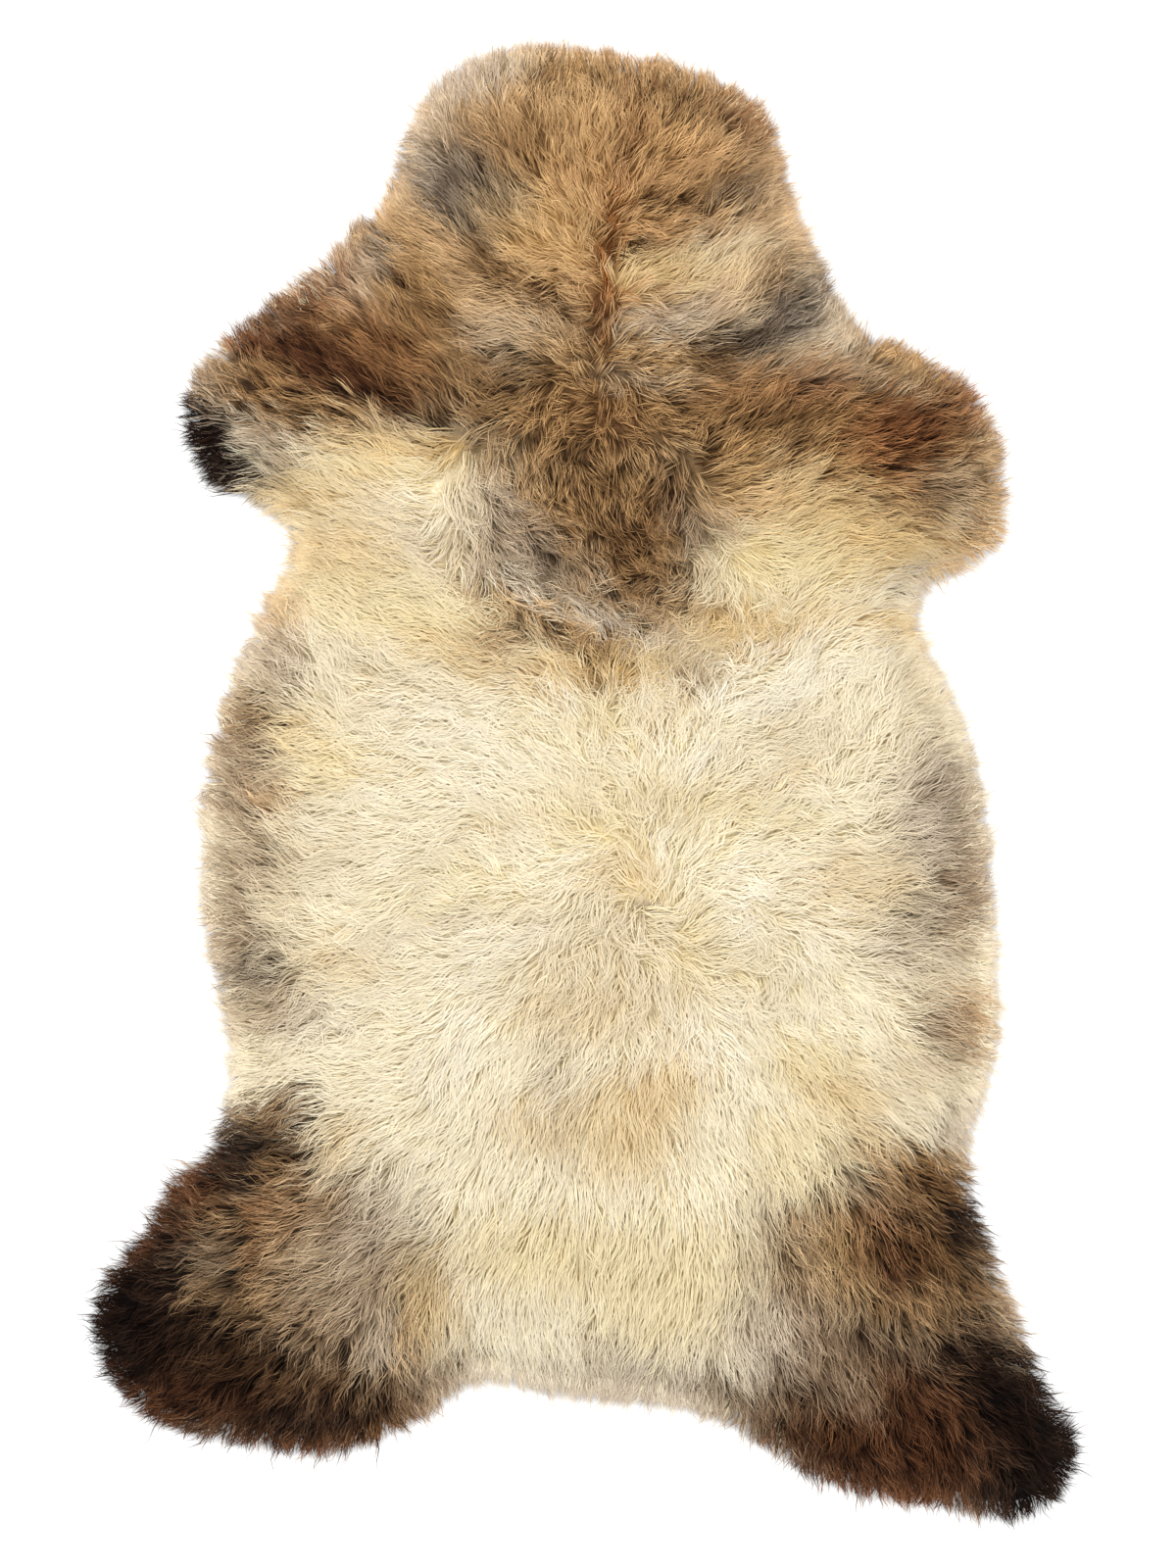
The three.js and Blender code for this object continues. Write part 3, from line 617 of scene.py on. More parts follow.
# The painted colour times the fibres' shade, and the fibres' height, at a vector in the material.
def addFibres(tree, vector, finish):
    fibres = addNode(tree, "ShaderNodeGroup", {"node_tree": fibreGroup}, Vector=vector,
                     Across=finish["across"], Along=finish["along"], Contrast=finish["contrast"])
    colour = addNode(tree, "ShaderNodeAttribute", {"attribute_name": "woolColour"})
    shaded = addNode(tree, "ShaderNodeVectorMath", {"operation": "SCALE"},
                     _0=colour.outputs["Color"], Scale=fibres.outputs["Shade"])
    return shaded.outputs[0], fibres.outputs["Height"]


# What ends each material: its colour and finish, with a height times relief as its bump.
def addSurface(tree, colour, height, finish):
    bump = addNode(tree, "ShaderNodeBump", Strength=finish["bump"], Distance=finish["relief"],
                   Height=height)
    surface = addNode(tree, "ShaderNodeBsdfPrincipled", Base_Color=colour, Normal=bump.outputs[0],
                      Roughness=finish["roughness"], Specular_IOR_Level=finish["specular"],
                      Sheen_Weight=finish["sheen"])
    addNode(tree, "ShaderNodeOutputMaterial", Surface=surface.outputs[0])


woolFinish = {
    "across": 5.0,  # fibres that show across one strand
    "along": 1.6,
    "contrast": 0.45,
    "bump": 0.6,
    "relief": 0.0004,
    "roughness": 0.7,
    "specular": 0.035,
    "sheen": 0.0,
}


# Wool: fibres along each strand's own UV.
def makeWoolMaterial():
    material = makeMaterial("longWool")
    uv = addNode(material.node_tree, "ShaderNodeUVMap", {"uv_map": "strand"})
    colour, height = addFibres(material.node_tree, uv.outputs[0], woolFinish)
    addSurface(material.node_tree, colour, height, woolFinish)
    return material


underwoolFinish = {
    "curlScale": 90.0,  # of the noise that bends the fibres, and how far it moves them
    "curl": 0.012,
    "across": 900.0,
    "along": 260.0,
    "contrast": 0.9,
    "bump": 0.8,
    "relief": 0.001,
    "roughness": 0.9,
    "specular": 0.15,
    "sheen": 0.0,
}


# Underwool: short, matted fibres at the place plus curl times a noise.
def makeUnderwoolMaterial():
    material = makeMaterial("mattedUnderwool")
    tree = material.node_tree
    place = addNode(tree, "ShaderNodeTexCoord")
    bend = addNode(tree, "ShaderNodeTexNoise", Vector=place.outputs["Object"],
                   Scale=underwoolFinish["curlScale"], Detail=2.0)
    bent = addNode(tree, "ShaderNodeVectorMath", {"operation": "MULTIPLY_ADD"},
                   _0=bend.outputs["Color"], _1=[underwoolFinish["curl"]] * 3,
                   _2=place.outputs["Object"])
    colour, height = addFibres(tree, bent.outputs[0], underwoolFinish)
    addSurface(tree, colour, height, underwoolFinish)
    return material


hideFinish = {
    "stain": "b8956a",  # in the clouds' dark parts
    "buff": "dcc39c",  # and in their light ones
    "stainRange": (0.3, 0.7),  # the noise values at which each is full
    "cloudScale": 7.0,
    "napScale": 900.0,
    "bump": 0.5,
    "relief": 0.0004,
    "roughness": 0.85,
    "specular": 0.2,
    "sheen": 0.3,
}


# Tanned hide: suede between two colours by a cloudy noise, with a fine noise as its nap.
def makeHideMaterial():
    material = makeMaterial("tannedHide")
    tree = material.node_tree
    place = addNode(tree, "ShaderNodeTexCoord")
    cloud = addNode(tree, "ShaderNodeTexNoise", Vector=place.outputs["Object"],
                    Scale=hideFinish["cloudScale"], Detail=5.0)
    nap = addNode(tree, "ShaderNodeTexNoise", Vector=place.outputs["Object"],
                  Scale=hideFinish["napScale"], Detail=3.0)
    tone = addNode(tree, "ShaderNodeValToRGB", Fac=cloud.outputs[0])
    for end, name, at in zip(tone.color_ramp.elements, ("stain", "buff"), hideFinish["stainRange"]):
        end.position, end.color = at, (*toLinear(shownColour(hideFinish[name])), 1)
    addSurface(tree, tone.outputs[0], nap.outputs[0], hideFinish)
    return material


# A mesh object from arrays: points, each face's corner count, and every corner's point in a row.
def makeObject(name, points, faceSizes, corners, material):
    mesh = bpy.data.meshes.new(name)
    mesh.vertices.add(len(points))
    mesh.vertices.foreach_set("co", points.astype(np.float32).ravel())
    mesh.loops.add(len(corners))
    mesh.loops.foreach_set("vertex_index", corners.astype(np.int32))
    mesh.polygons.add(len(faceSizes))
    starts = np.concatenate([[0], np.cumsum(faceSizes)[:-1]])
    mesh.polygons.foreach_set("loop_start", starts.astype(np.int32))
    mesh.polygons.foreach_set("use_smooth", np.ones(len(faceSizes), dtype=bool))
    mesh.update(calc_edges=True)
    mesh.materials.append(material)
    piece = bpy.data.objects.new(name, mesh)
    bpy.context.collection.objects.link(piece)
    return piece


# A colour for each point of a mesh, from an array of linear values.
def setWoolColour(piece, colours):
    attribute = piece.data.color_attributes.new("woolColour", "FLOAT_COLOR", "POINT")
    values = np.ones((len(colours), 4), dtype=np.float32)
    values[:, :3] = colours
    attribute.data.foreach_set("color", values.ravel())


# A slab in the skin's outline, and where its points lie in the outline's own metres: a square grid,
# cut where the depth falls under inset. Points just outside are moved in along the depth's slope by
# (inset - depth), three times over, so the rim is smooth. Top and bottom heights are functions of
# (x, y, depth), and a wall of quads joins them at the rim.
def makeSlab(name, step, inset, topHeight, bottomHeight, material):
    low, high = line.min(0) - step, line.max(0) + step
    nx, ny = np.ceil((high - low) / step).astype(int)
    x, y = np.meshgrid(low[0] + step * np.arange(nx + 1), low[1] + step * np.arange(ny + 1))
    depth = sample(depthField, x, y)
    inside = depth > inset
    cells = inside[:-1, :-1] | inside[1:, :-1] | inside[:-1, 1:] | inside[1:, 1:]
    for _ in range(3):
        short = np.where(inside, 0, inset - sample(depthField, x, y))
        x = x - short * sample(outField[0], x, y)
        y = y - short * sample(outField[1], x, y)
    depth = sample(depthField, x, y)
    number = np.arange(x.size).reshape(x.shape)
    a, b, c, d = number[:-1, :-1], number[:-1, 1:], number[1:, 1:], number[1:, :-1]
    quads = np.stack([a[cells], b[cells], c[cells], d[cells]], 1)
    walls = []
    padded = np.pad(cells, 1)
    for up, right, start, end in ((-1, 0, a, b), (0, 1, b, c), (1, 0, c, d), (0, -1, d, a)):
        beyond = padded[1 + up:cells.shape[0] + 1 + up, 1 + right:cells.shape[1] + 1 + right]
        rim = cells & ~beyond
        walls.append(np.stack([start[rim], end[rim]], 1))
    walls = np.concatenate(walls)
    upper = np.stack([x, y, topHeight(x, y, depth)], -1).reshape(-1, 3)
    lower = np.stack([x, y, bottomHeight(x, y, depth)], -1).reshape(-1, 3)
    below = x.size
    faces = np.concatenate([
        quads, quads[:, ::-1] + below,
        np.stack([walls[:, 1], walls[:, 0], walls[:, 0] + below, walls[:, 1] + below], 1),
    ])
    used, corners = np.unique(faces, return_inverse=True)
    points = np.concatenate([upper, lower])[used]
    flat = points[:, :2].copy()
    points[:, :2] += skin["shift"]
    piece = makeObject(name, points, np.full(len(faces), 4), corners.ravel(), material)
    return piece, flat


# The tanned skin: a slab from the floor up to its thickness.
hide = {
    "thickness": 0.0022,
    "inset": 0.022,  # how far the hide ends inside the tips of the wool
    "step": 0.018,
}
hidePiece, _ = makeSlab("tannedHide", hide["step"], hide["inset"],
                        lambda x, y, depth: np.full(x.shape, hide["thickness"]),
                        lambda x, y, depth: np.zeros(x.shape), makeHideMaterial())
print("hide", len(hidePiece.data.polygons), "faces")

underwool = {
    "share": 0.80,  # its height as a share of the fleece's
    "overHide": 0.001,  # and the least that it stands over the hide
    "inset": 0.0130,
    "wedge": 0.014,  # how far in from its edge it reaches its full height
    "rimLift": 0.0008,  # how far its edge hangs over the floor
    "step": 0.011,
    "tipShare": (0.16, 0.6),  # of the tips' colour mixed in, the most where the shade is even
    "unevenEnd": 0.1,  # the unevenness at which that would have run out
    # painted shade: the share of its colour that the underwool keeps, as in the shade under the strands
    "paintedShadeShare": 0.91,
}


# The underwool's top: share of the fleece's height, times the square root of how far into the wedge.
def underwoolTop(x, y, depth):
    into = np.sqrt(np.clip((depth - underwool["inset"]) / underwool["wedge"], 0, 1))
    return np.maximum(underwool["share"] * sample(topField, x, y) * into,
                      hide["thickness"] + underwool["overHide"])


# Its underside: straight from rimLift at its edge up to the hide's thickness at the hide's edge.
def underwoolBottom(x, y, depth):
    return np.interp(depth, (underwool["inset"], hide["inset"]),
                     (underwool["rimLift"], hide["thickness"]))


underwoolPiece, underPlaces = makeSlab("underwool", underwool["step"], underwool["inset"],
                                       underwoolTop, underwoolBottom, makeUnderwoolMaterial())
# The underwool's colour: mostly the deep one, with its painted shade, and some of the tips', darkened
# by a set share as painted shade under the strands.
underTip, underDeep, underUneven = woolAt(underPlaces[:, 0], underPlaces[:, 1])
least, most = underwool["tipShare"]
underMix = np.clip(most * (1 - underUneven / underwool["unevenEnd"]), least, most)[:, None]
setWoolColour(underwoolPiece, (underDeep + (underTip - underDeep) * underMix) * underwool["paintedShadeShare"])
print("underwool", len(underwoolPiece.data.polygons), "faces")

wool = {
    "lockSpacing": 0.0081,
    "fringeSpacing": 0.0082,  # of the extra locks round the rim
    "fringeReach": 0.009,  # and how wide a band of the rim they are rooted in
    "fringeOut": 0.9,  # how far they turn straight out
    "scatter": 0.42,  # how far a lock is moved from its place on the lattice, as a share of the spacing
    "rootInset": (0.0095, 0.0195),  # nearest root to the outline: wool that lies along it, and out
    "length": 0.037,
    "lockRadius": 0.0085,  # at the roots
    "radiusByGather": (1.12, 0.6),  # its share at no gathering, less so much for each unit of gather
    "gather": 0.35,
    "width": 0.00088,
    "rimWidth": 0.15,  # how much wider strands are at the rim, as a share
    "taper": (0.75, 1.0, 0.92, 0.72, 0.42, 0.0),
    "roll": 0.48,  # how far strands are turned about themselves
    "roundness": 0.32,  # how far a strand's sides lean in its shading
    "fleeceShading": 0.74,  # how far the shading follows the fleece under the strand
    "waveLength": 0.021,
    "waveHeight": 0.0020,
    "curl": 10,  # degrees that a lock's tip turns round
    "rootShare": 0.76,  # height of the roots and of the tips, as a share of the fleece's
    "tipShare": 0.98,
    "lift": 0.0011,  # how much higher or lower one lock lies than the next
    "crown": 0.0016,  # how much higher a lock's middle strand lies than its outer ones
    "floorGap": 0.0006,  # lowest that a strand's middle line comes
    "tipDepth": 0.0025,  # how far inside the outline tips end at the rim
    "tipStray": 0.005,  # how far the locks' tips differ there
    "wisps": 0.004,  # and the single strands'
    "tipFit": (0.25, 1.35),  # least and most share of its length that a strand keeps to end there
    "leastDrop": 0.0001,  # least difference in depth between root and tip that this reckons with
    "rimRun": 0.012,  # how far in from the roots nearest the outline a lock counts as at the rim
    "fitFrom": 0.25,  # and how much it has to count for its strands to be lengthened too
    "strayAtParting": 0.008,  # radians for each 1/m that the combing spreads by
    "mostStray": 0.6,
    "lockStreak": 0.0045,  # how far a lock's shade, and a strand's, strays from the painted place
    "strandStreak": 0.0055,
    "shadePlace": 0.62,  # how far along itself a strand reads its shade
    "rimRead": 0.006,  # and how much farther in it reads it at the rim
    # painted shade at the rim, least in red as for light through the thin tips
    "paintedRimShade": (0.94, 0.87, 0.86),  # how much of its colour the wool keeps at the rim
    "fadeStart": (0.05, 1.1),  # where a strand's deep colour starts to fade, later by unevenness
    "fadeRun": (0.64, 0.9),  # and how long that takes, less by unevenness
    "toneByColour": (1.8, 2.0, 2.15),  # how far unevenness changes the red, the green and the blue
    "toneLimits": (-2.2, 1.7),
    "lightLimits": (0.001, 0.95),
    "fibreShift": (1.37, 251, 3.1, 13),  # from strand to strand in U, and after how many again; in V
}
latticeRow = 0.866  # between the rows of a lattice of triangles, as a share of its spacing

# Noise that differs smoothly from lock to lock: (share, spacing, which noise) for each that is added.
lockNoise = {
    "turn": [(0.28, 0.048, 5), (0.30, 0.022, 6)],  # radians off the combing
    "stray": [(1, 0.026, 11), (1, 0.013, 12)],  # the same, in the shares that woolManner gives
    "curlSide": [(1, 0.03, 7)],
    "length": [(0.12, 0.03, 8)],
    "phase": [(0.7, 0.018, 13)],  # in waves
    "lift": [(0.6, 0.024, 9)],
    "tone": [(0.6, 0.022, 10)],
}

# Chance from lock to lock and from strand to strand: a range where it is even, else a spread.
lockChance = {
    "way": 0.10,  # radians, and
    "wayByCurl": 0.25,  # more for each radian of curl
    "bend": 0.22,
    "root": (0.2, 1),
    "curl": (0.3, 1.6),
    "gather": (0.6, 1.15),
    "length": (-0.18, 0.14),
    "wave": (0.5, 1.3),
    "phase": 0.1,
    "lift": 0.6,
    "tone": 0.55,
}
strandChance = {
    "length": (0.72, 1.06),
    "way": 0.07,
    "lift": 0.0009,
    "width": (0.65, 1.25),
    "roll": 0.6,
    "fade": 0.3,  # how much longer the deep colour takes to fade out
    "deep": (0.78, 1),  # how far the tip's colour is reached
    "tone": 1,
}

# Where the wool differs from the back's: (x, y, reach, wave, curl, length, stray, gather). Wave and
# length are shares of the back's. Curl is how far a lock's tip turns round, and stray how far a tuft
# lies off the combing, both in degrees. Gather is how far a lock's strands come together at its tip.
mannerColumns = {"wave": 3, "curl": 4, "length": 5, "stray": 6, "gather": 7}
woolManner = [
    (.000, .530, .080, .6, 8, .62, 0, .2), (.000, .440, .080, .9, 16, .60, 10, .35),
    (.015, .380, .060, 1.1, 30, .54, 24, .45), (-.220, .300, .100, .8, 6, .80, 0, .64),
    (.220, .250, .110, .8, 6, .88, 0, .58), (-.260, -.400, .110, 1.0, 14, .88, 8, .42),
    (.270, -.430, .130, .7, 10, .88, 0, .42), (.020, -.360, .130, .5, 4, .95, 0, .3),
    (-.100, .000, .080, 1.1, 14, 1.0, 4, .35), (.015, .040, .055, 1.5, 40, .85, 30, .35),
    (.015, -.030, .050, 1.3, 30, .88, 24, .3), (.090, .050, .045, 2.0, 75, 1.0, 25, .5),
    (.034, -.090, .040, 1.3, 44, .66, 50, .35), (.125, -.140, .050, 1.8, 65, .95, 30, .5),
    (-.050, .195, .055, 1.6, 60, .88, 10, .5), (.090, .120, .045, 2.2, 90, .95, 20, .6),
    (.010, .285, .070, .7, 26, .44, 38, .3), (.015, .225, .060, .6, 20, .54, 14, .3),
    (.040, .165, .036, 1.9, 70, .56, 60, .6), (-.030, .090, .050, 1.4, 35, .85, 25, .5),
    (.065, -.010, .060, 1.5, 34, .95, 26, .35), (-.065, -.060, .070, 1.4, 28, .95, 20, .35),
    (.020, -.145, .060, 1.3, 24, .90, 22, .3), (.170, .020, .060, 1.7, 40, 1.0, 12, .45),
    (-.160, .060, .060, 1.5, 30, 1.0, 12, .4), (-.190, -.150, .060, 1.6, 34, .95, 14, .45),
]


# Places on a lattice of triangles, spacing apart, each moved by chance to either side in x and y.
def scatter(spacing, rng):
    low, high = line.min(0), line.max(0)
    row, column = np.mgrid[0:int((high[1] - low[1]) / (spacing * latticeRow)) + 1,
                           0:int((high[0] - low[0]) / spacing) + 2]
    x = low[0] + spacing * (column + 0.5 * (row % 2)).ravel()
    y = low[1] + spacing * latticeRow * row.ravel()
    stray = spacing * wool["scatter"]
    return x + stray * rng.uniform(-1, 1, x.size), y + stray * rng.uniform(-1, 1, y.size)


# A value for each lock from woolManner: the plain one, pulled by e^(-(r / reach)^2) to each row's.
def mannerAt(x, y, name, plain):
    value = np.full(x.shape, float(plain))
    for row in woolManner:
        pull = np.exp(-((x - row[0])**2 + (y - row[1])**2) / row[2]**2)
        value += (row[mannerColumns[name]] - value) * pull
    return value


# The sum of share times softNoise over a name's rows in lockNoise.
def noiseAt(x, y, name):
    return sum(share * softNoise(x, y, span, use) for share, span, use in lockNoise[name])


# The locks: a table of arrays, one value for each lock. Locks are kept where they are deeper than
# rootInset's near value, or towards its far one the more the wool lies out over the rim, and the
# fringe's in a band from the near value on. Each value is the wool's, times or plus its manner, noise
# and chance.
def plantLocks(rng):
    x, y = scatter(wool["lockSpacing"], rng)
    fringeX, fringeY = scatter(wool["fringeSpacing"], rng)
    fringe = np.concatenate([np.zeros(x.size), np.ones(fringeX.size)])
    x, y = np.concatenate([x, fringeX]), np.concatenate([y, fringeY])
    depth = sample(depthField, x, y)
    outX, outY = sample(outField[0], x, y), sample(outField[1], x, y)
    wayX = sample(wayField[0], x, y) + fringe * wool["fringeOut"] * outX
    wayY = sample(wayField[1], x, y) + fringe * wool["fringeOut"] * outY
    size = np.hypot(wayX, wayY) + tiny
    outward = np.clip((wayX * outX + wayY * outY) / size, 0, 1)
    near, far = wool["rootInset"]
    inner = depth > near + (far - near) * outward * rng.uniform(*lockChance["root"], x.size)
    kept = np.where(fringe > 0, (depth > near) & (depth < near + wool["fringeReach"]), inner)
    x, y, wayX, wayY = x[kept], y[kept], wayX[kept], wayY[kept]
    count = x.size
    curl = np.radians(mannerAt(x, y, "curl", wool["curl"]))
    gather = mannerAt(x, y, "gather", wool["gather"])
    parts = np.clip(sample(partField, x, y) * wool["strayAtParting"], 0, wool["mostStray"])
    turn = noiseAt(x, y, "turn")
    turn = turn + np.radians(mannerAt(x, y, "stray", 0)) * noiseAt(x, y, "stray")
    waySpread = lockChance["way"] + lockChance["wayByCurl"] * curl + parts
    loose, less = wool["radiusByGather"]
    locks = {
        "x": x,
        "y": y,
        "way": np.arctan2(wayY, wayX) + turn + rng.normal(0, waySpread, count),
        "bend": rng.normal(0, lockChance["bend"], count)
        + curl * np.sign(noiseAt(x, y, "curlSide")) * rng.uniform(*lockChance["curl"], count),
        "gather": gather * rng.uniform(*lockChance["gather"], count),
        "radius": wool["lockRadius"] * (loose - less * gather),
        "length": wool["length"] * mannerAt(x, y, "length", 1)
        * (1 + noiseAt(x, y, "length") + rng.uniform(*lockChance["length"], count)),
        "wave": wool["waveHeight"] * mannerAt(x, y, "wave", 1)
        * rng.uniform(*lockChance["wave"], count),
        "phase": noiseAt(x, y, "phase") + rng.normal(0, lockChance["phase"], count),
        "short": rng.uniform(0, 1, count),
        "rim": np.exp(-(depth[kept] - near) / wool["rimRun"]) * outward[kept],
        "lift": wool["lift"] * (noiseAt(x, y, "lift") + rng.normal(0, lockChance["lift"], count)),
        "tone": noiseAt(x, y, "tone") + rng.normal(0, lockChance["tone"], count),
    }
    locks["shadeX"] = x + rng.normal(0, wool["lockStreak"], count)
    locks["shadeY"] = y + rng.normal(0, wool["lockStreak"], count)
    return locks


# The strands' centre lines, as an array of strand by step by (x, y, z), and their locks' values. A
# strand starts at its place in the lock, runs length s^1.15 along the lock's way, which turns by
# bend s^1.5, is drawn in to the lock's middle by gather s, and waves to the side by
# wave s^0.7 sin(2 pi (length s / waveLength + phase)). Where its tip would pass the rim's limit, its
# length is cut to (root's depth - limit) / (root's depth - tip's). Its height is the fleece's there
# times rootShare + (tipShare - rootShare) (1 - (1 - s)^1.7), with its lock's lift times s and the
# crown (1 - radius^2) added where the fleece is deep.
def strandPaths(locks, which, steps, rng):
    count = which.size
    take = {name: values[which] for name, values in locks.items()}
    each = {name: values[:, None] for name, values in take.items()}
    radius = np.sqrt(rng.uniform(0, 1, count))[:, None]
    angle = rng.uniform(0, 2 * math.pi, count)[:, None]
    s = np.linspace(0, 1, steps + 1)[None, :]
    middle = (s[:, 1:] + s[:, :-1]) / 2
    length = take["length"] * rng.uniform(*strandChance["length"], count)
    way = (take["way"] + rng.normal(0, strandChance["way"], count))[:, None]

    def run(length):
        length = length[:, None]
        heading = way + each["bend"] * middle**1.5
        pace = length * np.diff(s**1.15, axis=1)
        start = np.zeros((count, 1))
        alongX = np.concatenate([start, np.cumsum(pace * np.cos(heading), 1)], 1)
        alongY = np.concatenate([start, np.cumsum(pace * np.sin(heading), 1)], 1)
        gathered = each["radius"] * radius * (1 - each["gather"] * s)
        waves = length * s / wool["waveLength"] + each["phase"]
        aside = each["wave"] * s**0.7 * np.sin(2 * math.pi * waves)
        heading = way + each["bend"] * s**1.5
        x = each["x"] + alongX + gathered * np.cos(angle) - aside * np.sin(heading)
        y = each["y"] + alongY + gathered * np.sin(angle) + aside * np.cos(heading)
        return x, y

    x, y = run(length)
    rootDepth, tipDepth = (sample(depthField, x[:, end], y[:, end]) for end in (0, -1))
    limit = wool["tipDepth"] - wool["tipStray"] * take["short"] - rng.exponential(wool["wisps"], count)
    drop = np.maximum(rootDepth - tipDepth, wool["leastDrop"])
    share = np.clip((rootDepth - limit) / drop, *wool["tipFit"])
    fitted = (tipDepth < limit) | (take["rim"] > wool["fitFrom"])
    x, y = run(np.where(fitted, length * share, length))
    top = sample(topField, x, y)
    rise = wool["rootShare"] + (wool["tipShare"] - wool["rootShare"]) * (1 - (1 - s)**1.7)
    crown = wool["crown"] * (1 - radius**2)
    deep = np.clip(top / skin["fleeceHeight"], 0, 1)
    lift = each["lift"] * s + crown + rng.normal(0, strandChance["lift"], (count, 1)) * s
    return np.stack([x, y, np.maximum(top * rise + lift * deep, wool["floorGap"])], -1), take


# Ribbons along the strands: two points to each step, as wide as the strand times its taper, and one
# at the tip. The side is across the path and level, turned about the path by the strand's roll. For
# the shading, a point's normal is (1 - f) (ribbon's normal +- roundness side) + f (the fleece's),
# with f the fleeceShading. U runs across a strand and V along it, both moved on from one to the next.
def ribbons(name, paths, widths, rolls, colours, material):
    count, steps = paths.shape[0], paths.shape[1] - 1
    along = np.gradient(paths, axis=1)
    along /= np.linalg.norm(along, axis=2, keepdims=True) + 1e-9
    level = np.stack([-along[..., 1], along[..., 0], np.zeros(along.shape[:2])], -1)
    level /= np.linalg.norm(level, axis=2, keepdims=True) + 1e-9
    up = np.cross(along, level)
    cosRoll, sinRoll = np.cos(rolls)[:, None, None], np.sin(rolls)[:, None, None]
    side, face = level * cosRoll + up * sinRoll, up * cosRoll - level * sinRoll
    taper = np.interp(np.arange(steps) / steps, np.linspace(0, 1, len(wool["taper"])), wool["taper"])
    half = side[:, :-1] * (0.5 * widths[:, None] * taper[None, :])[..., None]

    def paired(left, right, tip):
        return np.concatenate([np.stack([left, right], 2).reshape(count, -1, 3), tip[:, -1:]], 1)

    points = paired(paths[:, :-1] + half, paths[:, :-1] - half, paths)
    lean = wool["roundness"] * side[:, :-1]
    own = paired(face[:, :-1] + lean, face[:, :-1] - lean, face)
    slope = np.stack([-sample(slopeX, points[..., 0], points[..., 1]),
                      -sample(slopeY, points[..., 0], points[..., 1]), np.ones(points.shape[:2])], -1)
    slope /= np.linalg.norm(slope, axis=2, keepdims=True)
    normals = own * (1 - wool["fleeceShading"]) + slope * wool["fleeceShading"]
    normals /= np.linalg.norm(normals, axis=2, keepdims=True)
    template = []
    for k in range(steps - 1):
        template += [2 * k + 1, 2 * k + 3, 2 * k + 2, 2 * k]
    template += [2 * steps - 1, 2 * steps, 2 * steps - 2]
    corners = (np.arange(count)[:, None] * (2 * steps + 1) + np.array(template)[None, :]).ravel()
    sizes = np.tile(np.array([4] * (steps - 1) + [3]), count)
    points = points.reshape(-1, 3)
    points[:, 2] = np.maximum(points[:, 2], wool["floorGap"] / 2)
    points[:, :2] += skin["shift"]
    piece = makeObject(name, points, sizes, corners, material)
    piece.data.normals_split_custom_set_from_vertices(normals.reshape(-1, 3))
    across = np.concatenate([np.tile([0.0, 1.0], steps), [0.5]])
    down = np.concatenate([np.repeat(np.arange(steps), 2), [steps]]) / steps
    uShift, uCount, vShift, vCount = wool["fibreShift"]
    u = (np.arange(count) % uCount)[:, None] * uShift + across[template][None, :]
    v = (np.arange(count) % vCount)[:, None] * vShift + down[template][None, :]
    places = np.stack([u, v], -1).astype(np.float32).ravel()
    piece.data.uv_layers.new(name="strand").data.foreach_set("uv", places)
    setWoolColour(piece, paired(colours[:, :-1], colours[:, :-1], colours).reshape(-1, 3))
    return piece


# The strands' colours, step by step: from the deep one, with its painted shade, to the tip's as
# 3 g^2 - 2 g^3, with g from 0 to 1 over fadeRun from fadeStart on, times e^(toneByColour unevenness
# (the lock's tone + the strand's)). Both colours are read at shadePlace, give or take the streaks, and
# up to rimRead farther in near the rim, where the tips' colour is darkened as painted shade.
def strandColours(paths, take, count, rng):
    steps = paths.shape[1] - 1
    at = round(wool["shadePlace"] * steps)
    x, y = paths[:, at, 0], paths[:, at, 1]
    inward = wool["rimRead"] * take["rim"]
    x = x + take["shadeX"] - take["x"] - inward * sample(outField[0], x, y)
    y = y + take["shadeY"] - take["y"] - inward * sample(outField[1], x, y)
    streak = wool["strandStreak"]
    x, y = x + rng.normal(0, streak, count), y + rng.normal(0, streak, count)
    tip, deep, uneven = woolAt(x, y)
    s = np.linspace(0, 1, steps + 1)[None, :]
    start, later = wool["fadeStart"]
    run, less = wool["fadeRun"]
    run = run - less * uneven[:, None] + strandChance["fade"] * rng.uniform(0, 1, (count, 1))
    g = np.clip((s - (start + later * uneven[:, None])) / run, 0, 1)
    g = (g * g * (3 - 2 * g) * rng.uniform(*strandChance["deep"], (count, 1)))[..., None]
    tone = take["tone"] + rng.normal(0, strandChance["tone"], count)
    tone = uneven * np.clip(tone, *wool["toneLimits"])
    tone = np.exp(tone[:, None] * np.array(wool["toneByColour"]))[:, None, :]
    # Painted shade at the rim: the tips' colour is darkened there, red the least, as for light through
    # the thin tips.
    tip = tip * (1 - (1 - np.array(wool["paintedRimShade"])) * take["rim"][:, None])
    mixed = deep[:, None, :] * (1 - g) + tip[:, None, :] * g
    return np.clip(mixed * tone, *wool["lightLimits"])


woolMaterial = makeWoolMaterial()
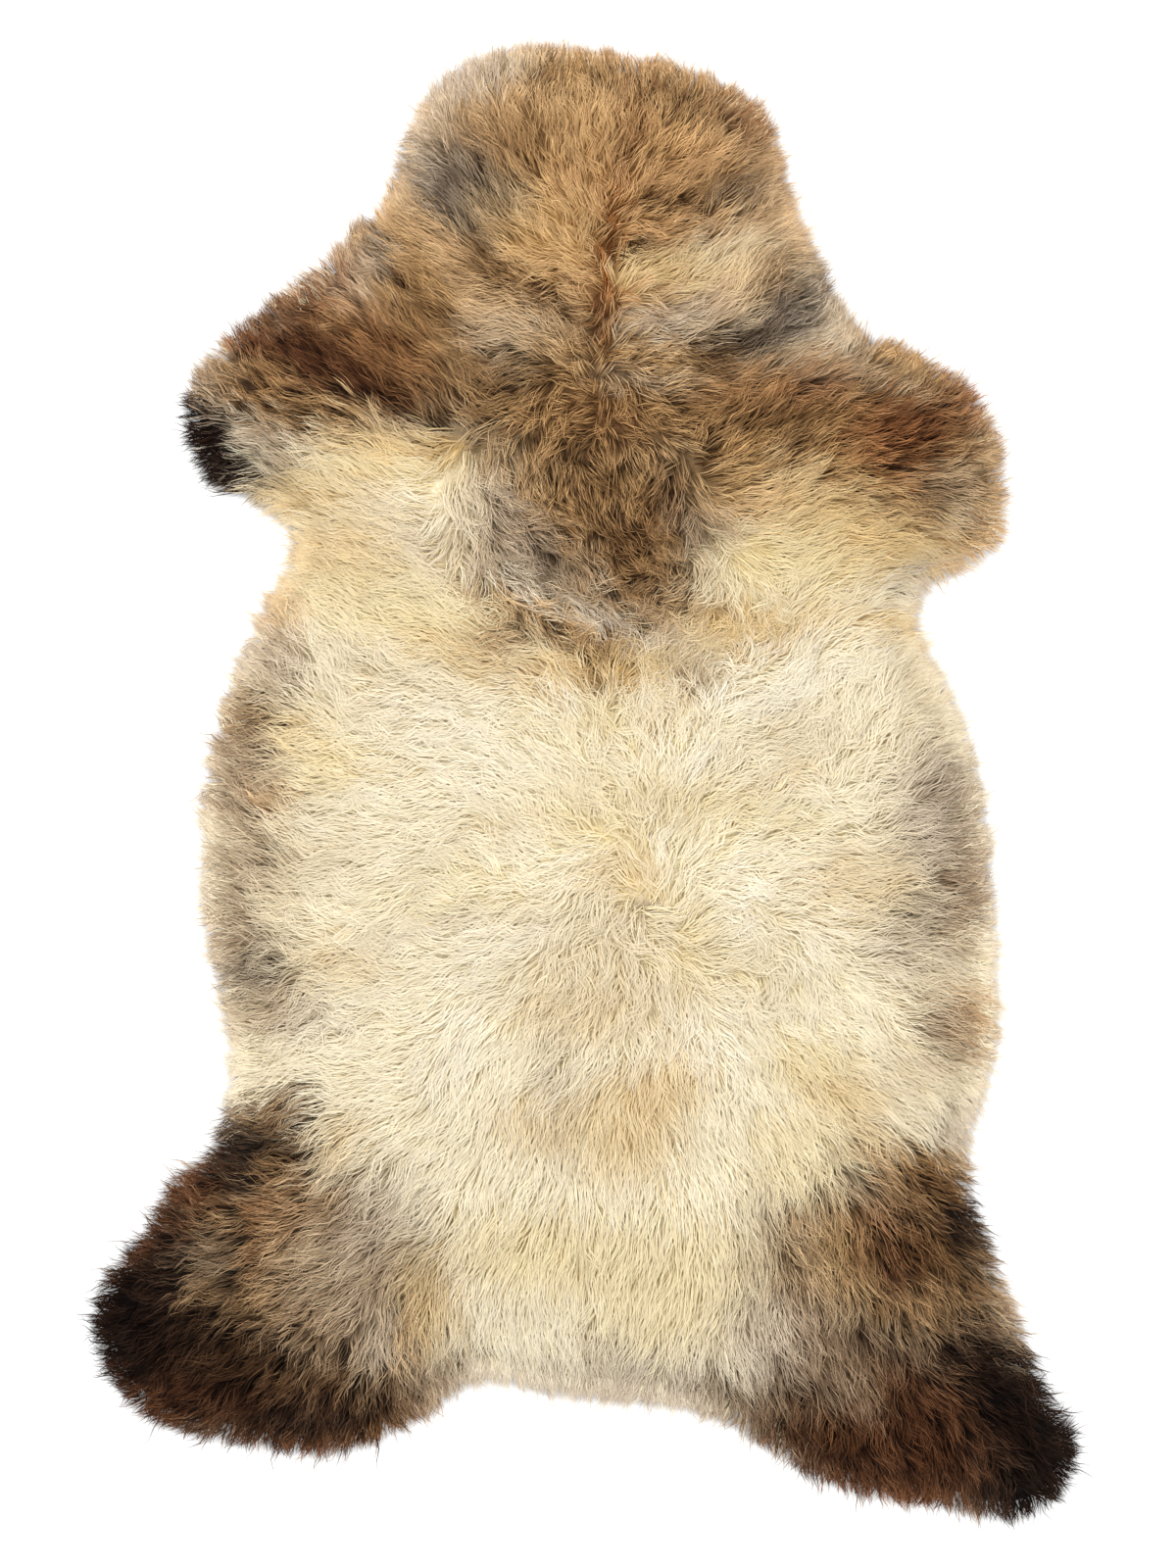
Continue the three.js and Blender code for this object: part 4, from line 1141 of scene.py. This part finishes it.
# name: (from y, to y, strands in a lock, stretches of each strand, width as a share)
woolBands = {
    "neckWool": (.300, 1, 18, 3, .78),
    "shoulderWool": (.135, .300, 13, 4, .86),
    "backWool": (-.010, .135, 11, 5, 1),
    "loinWool": (-.170, -.010, 11, 5, 1),
    "rumpWool": (-.340, -.170, 10, 5, 1.04),
    "hindlegWool": (-1, -.340, 11, 5, .96),
}
rng = np.random.default_rng(skin["seed"])
locks = plantLocks(rng)
print("wool", locks["x"].size, "locks")
woolPieces = []
for name, (low, high, strands, steps, share) in woolBands.items():
    here = np.flatnonzero((locks["y"] > low) & (locks["y"] <= high))
    which = np.repeat(here, strands)
    paths, take = strandPaths(locks, which, steps, rng)
    widths = wool["width"] * share * rng.uniform(*strandChance["width"], which.size)
    widths = widths * (1 + wool["rimWidth"] * take["rim"])
    rolls = wool["roll"] * rng.normal(0, strandChance["roll"], which.size)
    colours = strandColours(paths, take, which.size, rng)
    woolPieces.append(ribbons(name, paths, widths, rolls, colours, woolMaterial))
    print(name, which.size, "strands,", which.size * (2 * steps - 1), "triangles")

pieces = [hidePiece, underwoolPiece, *woolPieces]
for piece in pieces:
    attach(piece, "root")
    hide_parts("sheepskin")

studio = {
    "floorColour": (0.93, 0.93, 0.925),
    "floorReach": 6.0,
    "skyStrength": 1.05,
    "cameraHeight": 3.2,
    "seenLength": 1.2,  # of floor along the picture's long side, at the wool's height
    "woolLevel": 0.03,
    # name: (place, width, watts)
    "lamps": {
        "keyLamp": ((-1.3, 1.6, 2.4), 1.6, 55),
        "fillLamp": ((1.6, -0.6, 2.2), 2.2, 20),
    },
}


# The floor, a level square of pale card.
def makeFloor():
    points = np.array([[-1, -1, 0], [1, -1, 0], [1, 1, 0], [-1, 1, 0]]) * studio["floorReach"]
    material = bpy.data.materials.new("paleFloor")
    material.use_nodes = True
    surface = material.node_tree.nodes["Principled BSDF"]
    surface.inputs["Base Color"].default_value = (*studio["floorColour"], 1)
    surface.inputs["Roughness"].default_value = 0.9
    surface.inputs["Specular IOR Level"].default_value = 0.1
    floor = makeObject("floor", points, np.array([4]), np.arange(4), material)


# A round lamp that looks at the floor's middle: tipped by atan(distance across / height), and
# turned by atan2(x, -y).
def makeLamp(name, place, width, watts):
    light = bpy.data.lights.new(name, "AREA")
    light.shape, light.size, light.energy = "DISK", width, watts
    lamp = bpy.data.objects.new(name, light)
    lamp.location = place
    x, y, z = place
    lamp.rotation_euler = (math.atan2(math.hypot(x, y), z), 0, math.atan2(x, -y))
    bpy.context.collection.objects.link(lamp)


makeFloor()
for name, (place, width, watts) in studio["lamps"].items():
    makeLamp(name, place, width, watts)
world = bpy.data.worlds.new("softStudio")
world.use_nodes = True
world.node_tree.nodes["Background"].inputs["Color"].default_value = (1, 1, 1, 1)
world.node_tree.nodes["Background"].inputs["Strength"].default_value = studio["skyStrength"]
bpy.context.scene.world = world
bpy.context.scene.view_settings.view_transform = "Standard"

# The camera looks straight down. Its lens is the sensor's width times the distance over the length
# that it sees.
cameraData = bpy.data.cameras.new("photoCamera")
seenFrom = studio["cameraHeight"] - studio["woolLevel"]
cameraData.lens = cameraData.sensor_width * seenFrom / studio["seenLength"]
camera = bpy.data.objects.new("photoCamera", cameraData)
camera.location = (*skin["shift"], studio["cameraHeight"])
bpy.context.collection.objects.link(camera)
bpy.context.scene.camera = camera
print("studio ready")
